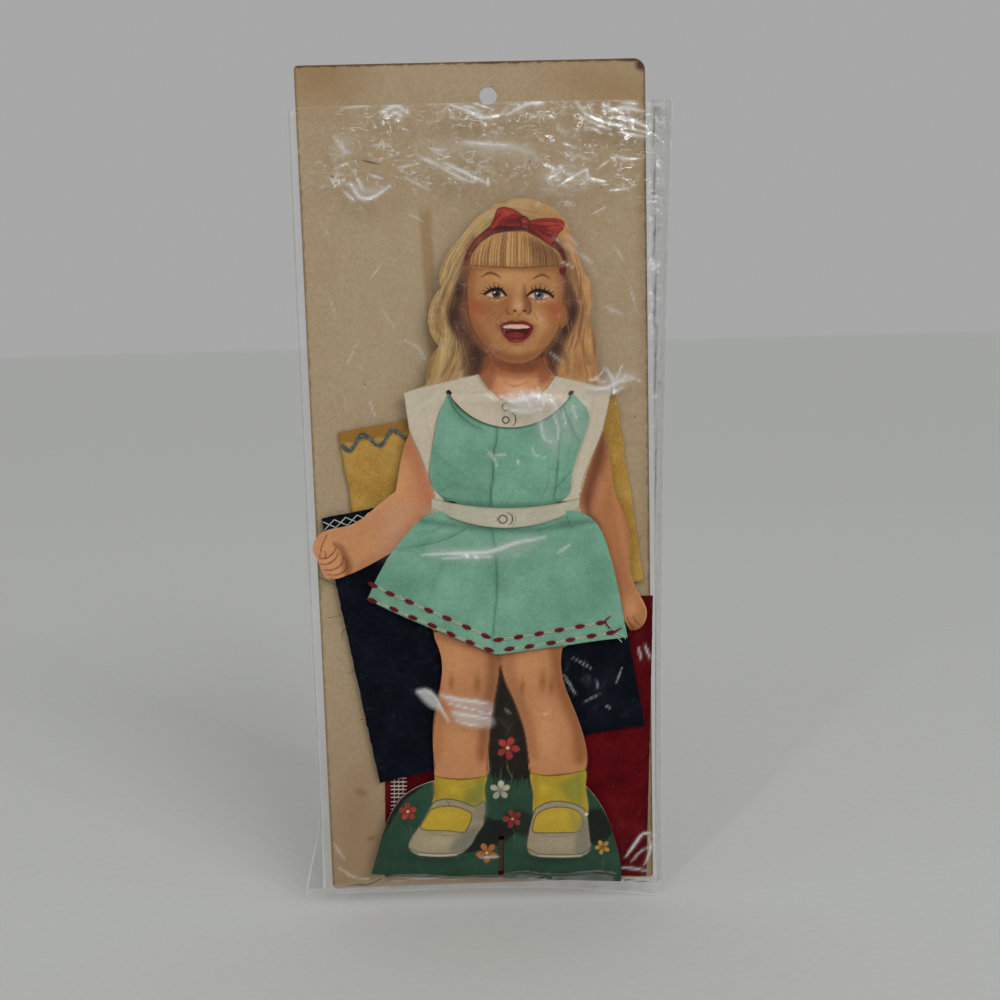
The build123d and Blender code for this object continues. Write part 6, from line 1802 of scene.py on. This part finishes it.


# painted highlights on the film's creases: width, strength, soft edge and line, in millimetres of the
# front plane
GLINTS = (
    (0.8, 0.45, 0.8, [(-52.1, -4.4), (-47.2, -4.1), (-42.3, -4)]),
    (1.4, 0.95, 0.9, [(-37.6, -6), (-35.3, -4.5), (-33.1, -3.9), (-30.9, -5), (-29.2, -6.6)]),
    (1.0, 0.80, 0.8, [(-35.6, -7.4), (-33.2, -6.2), (-31.4, -7.8)]),
    (0.6, 0.8, 0.5, [(-33.6, -8.6), (-32, -9.6)]),
    (1.2, 0.95, 0.9, [(-13.6, -4.2), (-8.8, -5.9), (-3.6, -8.3), (0.4, -8.9), (5.3, -7.5)]),
    (0.7, 0.85, 0.6, [(-9.7, -4.7), (-6.4, -5.2), (-3.5, -6.4)]),
    (0.6, 0.7, 0.5, [(-5.4, -3.9), (-2.2, -5), (1.6, -6)]),
    (1.1, 0.95, 0.9, [(6.2, -8.1), (11.6, -5.5), (15.6, -4.2), (19.8, -4.3)]),
    (1.6, 0.9, 1.2, [(15.6, -4.4), (18.6, -4.3)]),
    (1.0, 0.95, 0.7, [(31.6, -4.2), (34.2, -7.7), (39.1, -10.4), (47.1, -12.7), (55.1, -14.6)]),
    (0.7, 0.85, 0.5, [(41.1, -4.7), (41.9, -8.5)]),
    (1.5, 0.95, 0.8, [(43.1, -7.3), (48.9, -6.3), (55.6, -7.7)]),
    (1.5, 0.90, 0.9, [(44.4, -9.4), (51.6, -10.7), (56.9, -13.1)]),
    (0.8, 0.75, 0.7, [(34, -9.8), (38.2, -11.8), (43.6, -13.9)]),
    (0.7, 0.80, 0.5, [(35.6, -5), (37, -8)]),
    (0.8, 0.8, 0.6, [(46.6, -14.8), (51.2, -15.6), (56.8, -16.6)]),
    (0.5, 0.70, 0.5, [(36.4, -12.8), (40.4, -15.2)]), (0.9, 0.7, 0.8, [(48, -4.6), (53.6, -4.9)]),
    (2.2, 0.34, 2.2, [(-10.1, -17.5), (-0.3, -18.6), (8.6, -19.5), (15.6, -21.7)]),
    (0.6, 0.60, 0.6, [(-9.1, -17.1), (-1.3, -18.2), (6.6, -18.8)]),
    (1.0, 0.65, 0.9, [(-24.4, -22.4), (-18.8, -25.3)]),
    (1.0, 0.85, 0.8, [(-16.5, -24.3), (-9.5, -27.9), (-1.6, -32)]),
    (0.8, 0.9, 0.5, [(-1.1, -30.3), (-1, -32.9)]),
    (0.6, 0.70, 0.5, [(-17.4, -26.4), (-12.4, -29), (-6.4, -31.4)]),
    (1.6, 0.30, 1.6, [(-22.4, -23.6), (-14.4, -26.6), (-10, -31)]),
    (1.1, 0.55, 1.0, [(-53.5, -16.1), (-52.3, -19.1), (-50.1, -20)]),
    (0.6, 0.5, 0.6, [(-55.6, -13.4), (-54, -17.6)]),
    (0.7, 0.45, 0.8, [(-42, -17.8), (-35.8, -17.4)]), (0.6, 0.6, 0.5, [(-57.5, -28.4), (-55.9, -32.1)]),
    (1.2, 0.90, 0.8, [(-50.5, -30.4), (-47.6, -35.3), (-42.7, -35.8), (-36.4, -32.1)]),
    (0.8, 0.80, 0.6, [(-47.8, -29.2), (-46, -33.2)]), (0.7, 0.7, 0.6, [(-43.3, -28), (-38.9, -29.4)]),
    (0.8, 0.60, 0.8, [(-52.8, -33.4), (-49.4, -37)]),
    (2.6, 0.26, 2.2, [(-51, -31), (-45, -33.6), (-39, -33)]),
    (0.7, 0.60, 0.6, [(20, -26.2), (22.7, -26.5)]), (0.9, 0.75, 0.7, [(21.2, -30.6), (25.8, -27.9)]),
    (0.8, 0.80, 0.6, [(24.3, -33.5), (34.2, -28.1), (34.2, -32.4)]),
    (0.9, 0.8, 0.7, [(35.1, -30.9), (41.3, -32.2)]),
    (0.7, 0.70, 0.6, [(43.1, -35.4), (50.3, -34.7)]), (0.7, 0.6, 0.6, [(26.4, -18.5), (30.8, -20.2)]),
    (0.9, 0.70, 0.8, [(45.1, -23.1), (50.4, -24.3), (54.5, -24)]),
    (0.8, 0.5, 0.8, [(-20.4, -19.9), (-15.9, -20)]),
    (0.6, 0.50, 0.6, [(-33.4, -25.6), (-25.4, -24.5)]), (0.6, 0.45, 0.6, [(38.6, -27.8), (43, -24.6)]),
    (0.8, 0.35, 1.0, [(-30.6, -29.2), (-22, -34)]), (0.7, 0.4, 0.7, [(31.4, -22.6), (35.8, -24.4)]),
    # over the head and shoulders
    (1.4, 0.16, 1.4, [(22, -52), (33, -59), (38, -66)]), (0.5, 0.5, 0.5, [(24, -60), (30, -63)]),
    (0.5, 0.45, 0.4, [(27, -50.6), (31, -55.2)]), (0.5, 0.4, 0.4, [(32, -58), (36.4, -61)]),
    (0.8, 0.40, 0.8, [(41, -77), (47, -80)]), (0.5, 0.45, 0.5, [(-33, -87), (-28, -90), (-26, -94)]),
    (0.6, 0.35, 0.6, [(20, -93), (25, -97)]), (0.6, 0.6, 0.5, [(33, -104), (37.8, -102.2), (40, -99)]),
    (0.5, 0.4, 0.4, [(-44, -64), (-40.6, -60)]), (0.4, 0.4, 0.4, [(-41, -76), (-36.6, -82)]),
    (0.4, 0.35, 0.4, [(-55, -96), (-50.6, -88)]), (0.4, 0.4, 0.4, [(-47, -108), (-44.6, -116)]),
    (0.4, 0.4, 0.4, [(43.4, -54), (47.6, -60)]), (0.4, 0.35, 0.4, [(50, -70), (52.6, -79)]),
    (0.4, 0.35, 0.4, [(-62, -44), (-58.6, -50)]), (0.4, 0.4, 0.4, [(-30, -42), (-24.6, -45)]),
    (0.4, 0.35, 0.4, [(36, -44), (41.6, -41)]), (0.4, 0.3, 0.4, [(-60, -70), (-57.6, -79)]),
    # collar and bodice
    (1.5, 0.85, 1.0, [(1.4, -108.2), (6.5, -110.3), (14.1, -108.6), (20.4, -111.3)]),
    (0.7, 0.9, 0.6, [(9, -106.6), (12.2, -112.6)]),
    (1.0, 0.70, 0.8, [(2, -112.4), (9.5, -114.2), (15.9, -113.7)]),
    (0.8, 0.7, 0.7, [(-4, -107.4), (0, -109.8)]),
    (0.6, 0.8, 0.5, [(15, -105.8), (17, -110.4), (16.2, -114)]),
    (0.6, 0.7, 0.5, [(19.6, -108.2), (22.4, -114.8)]),
    (1.0, 0.85, 0.8, [(33, -106.2), (37.6, -106.7), (42, -106.2), (47.8, -102.6)]),
    (0.6, 0.80, 0.5, [(36, -103.4), (40.6, -104.2)]), (0.6, 0.75, 0.5, [(42.6, -108.4), (47.6, -106.4)]),
    (0.7, 0.85, 0.6, [(40.6, -99.4), (43.2, -103.6), (43.6, -108.6)]),
    (0.6, 0.7, 0.5, [(46.6, -98.4), (44.4, -104)]),
    (0.6, 0.70, 0.6, [(44.6, -104.6), (50.6, -103.6), (54, -104.6)]),
    (0.6, 0.70, 0.5, [(-3.9, -128.4), (-1.7, -131), (-0.8, -134.6)]),
    (0.5, 0.6, 0.5, [(-1.4, -130.1), (2.8, -129.9)]),
    (0.5, 0.60, 0.5, [(12.4, -126.9), (13.6, -130.2), (17.4, -131.6)]),
    (0.8, 0.8, 0.6, [(6.9, -131.9), (7.5, -133.5)]),
    (0.7, 0.60, 0.7, [(15.8, -116.5), (16.9, -123.9), (20.1, -125.9)]),
    (0.6, 0.5, 0.6, [(24.1, -113.9), (25.3, -120.3)]),
    (0.6, 0.55, 0.5, [(20.6, -114.4), (22.4, -121.6), (21.6, -126)]),
    (0.5, 0.5, 0.5, [(27.6, -112.4), (29.6, -118.4)]),
    (3.0, 0.14, 3.0, [(14, -116), (19, -124), (23, -132)]),
    (0.6, 0.4, 0.6, [(-28.6, -112), (-22.6, -108.4)]),
    # skirt
    (1.3, 0.80, 1.0, [(-29.1, -166.8), (-20.7, -166.5), (-7.9, -166.7), (-2, -165.8), (6.4, -163.1),
     (16.7, -161.5)]),
    (0.5, 0.60, 0.5, [(-22, -168.2), (-10, -168.6), (-1, -167.8)]),
    (0.7, 0.6, 0.7, [(21.4, -167.5), (26.3, -164.4)]),
    # legs, navy and red cloths
    (0.8, 0.90, 0.7, [(-32.9, -219.6), (-29.6, -219.1), (-26.5, -221.9), (-24.6, -226), (-21.6, -231.5)]),
    (1.0, 0.70, 0.9, [(-24.1, -221.4), (-17.6, -223), (-6.4, -225)]),
    (0.6, 0.75, 0.5, [(-21.6, -224.4), (-9.6, -228), (-5.4, -229)]),
    (1.0, 0.75, 0.9, [(-19.6, -228.2), (-12.6, -229.6), (-5.5, -231.2)]),
    (0.7, 0.6, 0.6, [(-18.9, -231.4), (-12, -233.4), (-6.4, -233.6)]),
    (0.6, 0.50, 0.6, [(-19.9, -222.1), (-9.5, -224.1)]),
    (0.5, 0.5, 0.5, [(-9.6, -228.5), (-6.4, -229.3), (-4.7, -226.6)]),
    (0.5, 0.60, 0.4, [(14.9, -229.7), (17.2, -229.1)]), (0.4, 0.45, 0.4, [(0.2, -227.1), (2.1, -229.2)]),
    (0.4, 0.50, 0.4, [(22.4, -214.7), (24.6, -218.2), (27.2, -223)]),
    (0.4, 0.4, 0.4, [(42.9, -218.8), (45, -213.5)]),
    (0.4, 0.40, 0.4, [(35.1, -217.2), (35.7, -220.6)]), (0.5, 0.5, 0.4, [(38.9, -228.1), (40.2, -228.8)]),
    (0.4, 0.30, 0.4, [(26.4, -208.4), (33.4, -213)]), (0.4, 0.3, 0.4, [(30, -226), (36.6, -223)]),
    (0.6, 0.60, 0.6, [(51.7, -205.8), (52.6, -210.5)]), (0.6, 0.65, 0.6, [(54, -204.5), (56.2, -210.6)]),
    # foot of the pouch
    (0.9, 0.75, 0.7, [(45.6, -290), (49.7, -284.5), (53.1, -281.1), (57.8, -282)]),
    (0.8, 0.70, 0.7, [(55.1, -282.6), (55.7, -287.5), (53.3, -293.8)]),
    (0.8, 0.6, 0.7, [(44.3, -294.6), (49, -295.2), (53.8, -296.4)]),
    (0.6, 0.50, 0.6, [(48, -292), (52, -288), (56.6, -286.6)]),
    (0.7, 0.6, 0.6, [(-11.3, -285.9), (-4.2, -286)]),
    (0.6, 0.45, 0.6, [(-66.6, -290), (-61, -294.6), (-55, -295.6)]),
    (0.6, 0.4, 0.6, [(-68, -280), (-64, -287)]),
    (0.6, 0.35, 0.6, [(-46, -296.6), (-32, -295.4), (-18, -297)]),
    (0.6, 0.35, 0.6, [(2, -296), (16, -298.2), (32, -297.8)]),
    # right margin of the pouch
    (0.8, 0.70, 0.7, [(59.4, -8.2), (61.8, -12.6)]), (0.7, 0.6, 0.7, [(60, -16), (63.2, -19)]),
    (0.6, 0.50, 0.6, [(59.6, -24), (62, -29)]), (0.7, 0.5, 0.7, [(60.4, -36), (62.6, -41.4)]),
    (0.5, 0.40, 0.6, [(61.7, -112.9), (64.2, -119.5), (61.6, -127.2)]),
    (0.5, 0.4, 0.6, [(60.9, -132.4), (58.6, -157.6), (60.4, -177.7)]),
    (0.5, 0.35, 0.6, [(60.2, -60), (62.4, -78), (60.4, -96)]),
    (0.5, 0.3, 0.6, [(59.4, -190), (60.4, -214), (58.4, -240)]),
)


# broad painted highlights on the film: soft edge, strength and outline
GLARES = (
    (1.2, 0.62, [(-33.4, -219.3), (-31.3, -218.6), (-28.6, -219.5), (-26, -223.9), (-25.1, -226.7),
     (-28.1, -225.6),
                 (-30.8, -223)]),
    (2.0, 0.36, [(-24.2, -220.7), (-17.7, -222.4), (-6.1, -224.5), (-5.9, -229.3), (-9.6, -228.7),
     (-17.8, -226.3),
                 (-21.9, -224)]),
    (1.8, 0.40, [(-19.6, -226.9), (-5.5, -231), (-6.3, -233.8), (-13.9, -233.6), (-18.7, -231.2)]),
    (2.6, 0.62, [(3.4, -109.1), (7.1, -107.4), (14.4, -107.2), (17.4, -108), (18.1, -110.2),
     (14.3, -113.1),
                 (8.4, -113.6), (5.9, -111.7)]),
    (2.8, 0.40, [(37.3, -106.4), (41.7, -102.8), (47.6, -101.5), (50.6, -102.3), (47.6, -105.2),
     (43.1, -108),
                 (39.4, -107.9)]),
    (5.0, 0.20, [(17.3, -110.9), (31.3, -109.1), (33.4, -115.8), (31.1, -123.9), (21.4, -128.8),
     (14.8, -123.4)]),
    (6.0, 0.10, [(-42, -150), (-34, -150), (-38, -164), (-44, -166)]),
    (2.4, 0.14, [(-55, -14.5), (-50, -15), (-50.5, -20), (-55, -20)]),
    (3.0, 0.12, [(-24, -17), (-2, -17), (14, -20), (16, -24), (-4, -23), (-20, -22)]),
    (3.0, 0.12, [(20, -26), (34, -27), (34, -35), (18, -35)]),
    (2.6, 0.20, [(-26, -163.4), (-8, -164.6), (10, -160.4), (14, -165), (-4, -170), (-24, -169)]),
)
# painted shadows: the film's folds near the foot of the pouch, and a line down its right side
FOLD_SHADOWS = (
    (0.9, 0.75, 0.8, [(-70, -298.6), (-56, -297.8), (-48.4, -294.8), (-35.7, -294.2), (-22.3, -295.6),
     (-11.6, -295.4)]),
    (1.1, 0.90, 0.8, [(-11.6, -295.4), (-3.5, -295.7), (4.6, -294.2), (16.7, -296.4), (31.5, -296),
     (39.6, -296.9),
                      (44.3, -299.2), (52, -300.6), (59, -301.2)]),
    (0.6, 0.70, 0.6, [(4.6, -294.2), (9, -296.6), (22, -298.2), (38, -298.4), (46, -300.8)]),
    (4.0, 0.22, 3.0, [(-68, -300), (-30, -298.6), (0, -299), (40, -300)]),
    (0.4, 0.60, 0.5, [(59.6, -6), (59.4, -90), (58.6, -180), (57.6, -298)]),
)


def film_grid(s, t):
    """A grid over the pouch's hollow: how far across it lies, its place, and the pouch's sides there."""
    across, down = np.meshgrid(s, t)
    z = MOUTH + (FLOOR - MOUTH) * down
    left, right = side_lines(z)
    return across, left + (right - left) * across, z, left, right


def film_piece(name, x, depth, z, crease, film, downwards=True):
    """A piece of the pouch, with how much its film shows, how lit it is, and how crinkled."""
    crease = np.stack([np.reshape(share, x.shape) for share in (*crease, 1 + 0 * x)], -1)
    return mesh_piece(name, np.stack([x, -depth, z], -1) * MM, grid_faces(*x.shape, downwards), film,
        "bag", colours={"crease": np.clip(crease, 0, 1)})


def front_depth(across, x, z, place):
    """How far forward the front of the pouch bulges: full, arched, creased, and clear of the collar."""
    near_side = np.minimum(across, 1 - across)
    full = np.interp(z, [FLOOR, FLOOR + 13, MOUTH - 45, MOUTH], [6.5, 11.0, 11.0, 8.8])
    arch = 1 - (2 * across - 1) ** 2
    side = np.minimum(5.8, full)
    depth = side + (full - side) * arch
    depth = np.minimum(depth, 0.75 + 26 * near_side ** 0.5 * 1.6)
    folds = crumple(x, z, 5, 13.0) + 0.7 * crumple(x, z, 9, 5.5, 3.0)
    drape = layered_noise(x / 34, z / 60, 31, 3) - 0.5
    depth = depth - 0.9 * np.clip(drape + 0.3, 0, 1) * arch ** 0.3 - (0.35 + 1.1 * place) * folds * 0.55
    depth = FILM_EDGE + (np.clip(depth, 0.8, None) - FILM_EDGE) * np.clip(near_side / 0.012, 0, 1) ** 0.6
    over_collar = np.exp(-((x - 2) / 24) ** 6 - ((z + 119) / 13) ** 6)
    return depth + (np.maximum(depth, 11.5) - depth) * over_collar


def front_creases_and_light(x, z, place, left, right):
    """The painted light on the front film."""
    light = Print(np.stack([x, z], -1), (0.0, 1.0, 0.0))
    over_card = 1.0 * ((z > -32) | (x >= 57))
    fine = crumple(x, z, 77, 4.2, 9.0) * 0.5 + crumple(x, z, 83, 9.0, 14.0) * 0.6
    specks = (layered_noise(x / 7, z / 5, 51, 4) > 0.66) * 0.06 * place * over_card
    # the margin past the card's right edge is a darker grey film: painted shade
    margin = np.clip((x - 57.6) / 0.8, 0, 1)
    mouth = np.clip((z + 44) / 26, 0, 1) * np.clip((x + 60) / 14, 0, 1)
    upper = np.clip((z + 150) / 50, 0, 1)
    # whitish film along the crinkles, partly their own whitening and partly painted highlight
    shows = np.clip(fine - 0.50, 0, 1) * place * (0.08 + over_card) + specks + margin * 0.30
    crinkle = np.clip(0.015 + 0.09 * upper + 0.52 * mouth + 0.4 * place * over_card, 0, 0.9)
    light.colour = np.stack([shows, 1 - margin * 0.36, crinkle], -1).reshape(-1, 3)
    # painted glare
    for soft, strength, shape in GLARES:
        light.shade(shape, (1.0, 1.0, 0.9), soft, strength)
    # painted glints, each with a soft halo
    for width, strength, soft, line in GLINTS:
        light.stroke(line, (1.0, 1.0, 0.6), width * 2.4, strength * 0.16, soft=soft * 2.4,
            taper=(0.5, 1, 0.5))
        light.stroke(line, (1.0, 1.0, 0.6), width, min(1.0, strength * 1.15), (0.25, 1, 0.8, 0.25), soft)
    # painted shadows in the folds: dark film
    for width, strength, soft, line in FOLD_SHADOWS:
        light.stroke(line, (1.0, 0.0, 0.0), width, strength, (0.5, 1, 0.7, 1, 0.4), soft)
    # painted highlights along the mouth and the side edges
    lip = np.exp(-((MOUTH - z) / 0.6) ** 2) * 0.30 * value_noise(x / 5, z * 0, 66) ** 2
    rim = np.exp(-((x - left) / 0.8) ** 2) * 0.42 + np.exp(-((right - x) / 0.6) ** 2) * 0.30
    light.colour[:, 0] += (lip + rim).ravel()
    return light.colour.T


def make_pouch_walls():
    film = clear_film_finish()
    rows, columns = ((455, 200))
    creased, rest = int(rows * 0.34), rows - int(rows * 0.34)
    down = np.concatenate([np.linspace(0, 0.14, creased, endpoint=False), np.linspace(0.14, 1, rest)])
    across, x, z, left, right = film_grid(np.linspace(0, 1, columns), down)
    place = crumple_places(x, z)
    front = film_piece("pouch_front", x, front_depth(across, x, z, place), z,
        front_creases_and_light(x, z, place, left, right), film)
    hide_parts("bag_front_film")

    # back sheet, flat against the card, wrinkled only where it shows past the card
    _, x, z, _, _ = film_grid(np.linspace(0, 1, 60), np.linspace(0, 1, 120))
    # whitish crinkle marks and a bright line at the mouth: painted highlights
    shows = 0.10 * crumple(x, z, 44, 9.0, 4.0) + np.exp(-(MOUTH - z) / 0.9) * 0.4
    back = film_piece("pouch_back", x, FILM_BACK + 0 * x, z, (shows, 1 + 0 * x, 0 * x), film,
        downwards=False)
    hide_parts("bag_back_film")


def make_pouch_seams():
    """Welded side fins and foot seam."""
    film = clear_film_finish("welded_film", 0.8)
    z = np.linspace(MOUTH, FLOOR - WELD, 150)
    left, right = side_lines(z)
    ear = np.interp(z, [FLOOR, FLOOR + 26, MOUTH], [7.6, 1.1, 1.1])
    across = np.linspace(0, 1, 7)[None]
    for name, a, b in (("pouch_fin_left", left - WELD - ear, left - 0.1),
            ("pouch_fin_right", right + 0.1, right + 1.25)):
        X = a[:, None] + (b - a)[:, None] * across
        Z = np.repeat(z[:, None], 7, 1)
        depth = FILM_WELD - 0.10 * np.sin(Z / 2.1 + across * 2) * across * (1 - across) * 3
        # the fins are greyed as painted shade, with painted highlight lines along both edges
        line = np.abs(across - 0.5) > 0.34
        shows = 0.36 + 0.3 * line + 0.2 * value_noise(Z / 1.7, X / 1.7, 8)
        lit = 0.62 + 0.38 * line + 0.10 * value_noise(Z / 1.9, X / 1.9, 9)
        fin = film_piece(name, X, depth, Z, (shows, lit, 0 * X), film)
        if name == "pouch_fin_left":
            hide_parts("bag_side_seams")
    x = np.linspace(-72.9 - WELD - 7.6, 59.8 + WELD + 1.1, 160)
    foot = np.interp(x, [-80.65, 0, 30.5, 61.05], [-303.85, -303.85, -305.85, -309.85])
    down = np.linspace(0, 1, 9)[:, None]
    X = np.repeat(x[None], 9, 0)
    Z = (FLOOR - WELD) + (foot[None] - (FLOOR - WELD)) * down
    depth = FILM_WELD - 0.14 * np.sin(X / 3.3) * down
    # greyed film as painted shade, a greyer band near its top, and a white strip along its foot as
    # painted highlight
    shows = 0.18 + 0.30 * (np.abs(down - 0.12) < 0.10) + 0.30 * (down > 0.9) + 0.22 * value_noise(
        X / 2.3, Z / 1.4, 18)
    lit = 0.62 + 0.38 * (down > 0.9) + 0.30 * value_noise(X / 3.1, Z / 1.4, 19)
    hem = film_piece("pouch_foot_seam", X, depth, Z, (shows, lit, 0 * X), film)
    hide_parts("bag_bottom_seam")


make_spare_cloths()
make_dress()
make_pouch_walls()
make_pouch_seams()
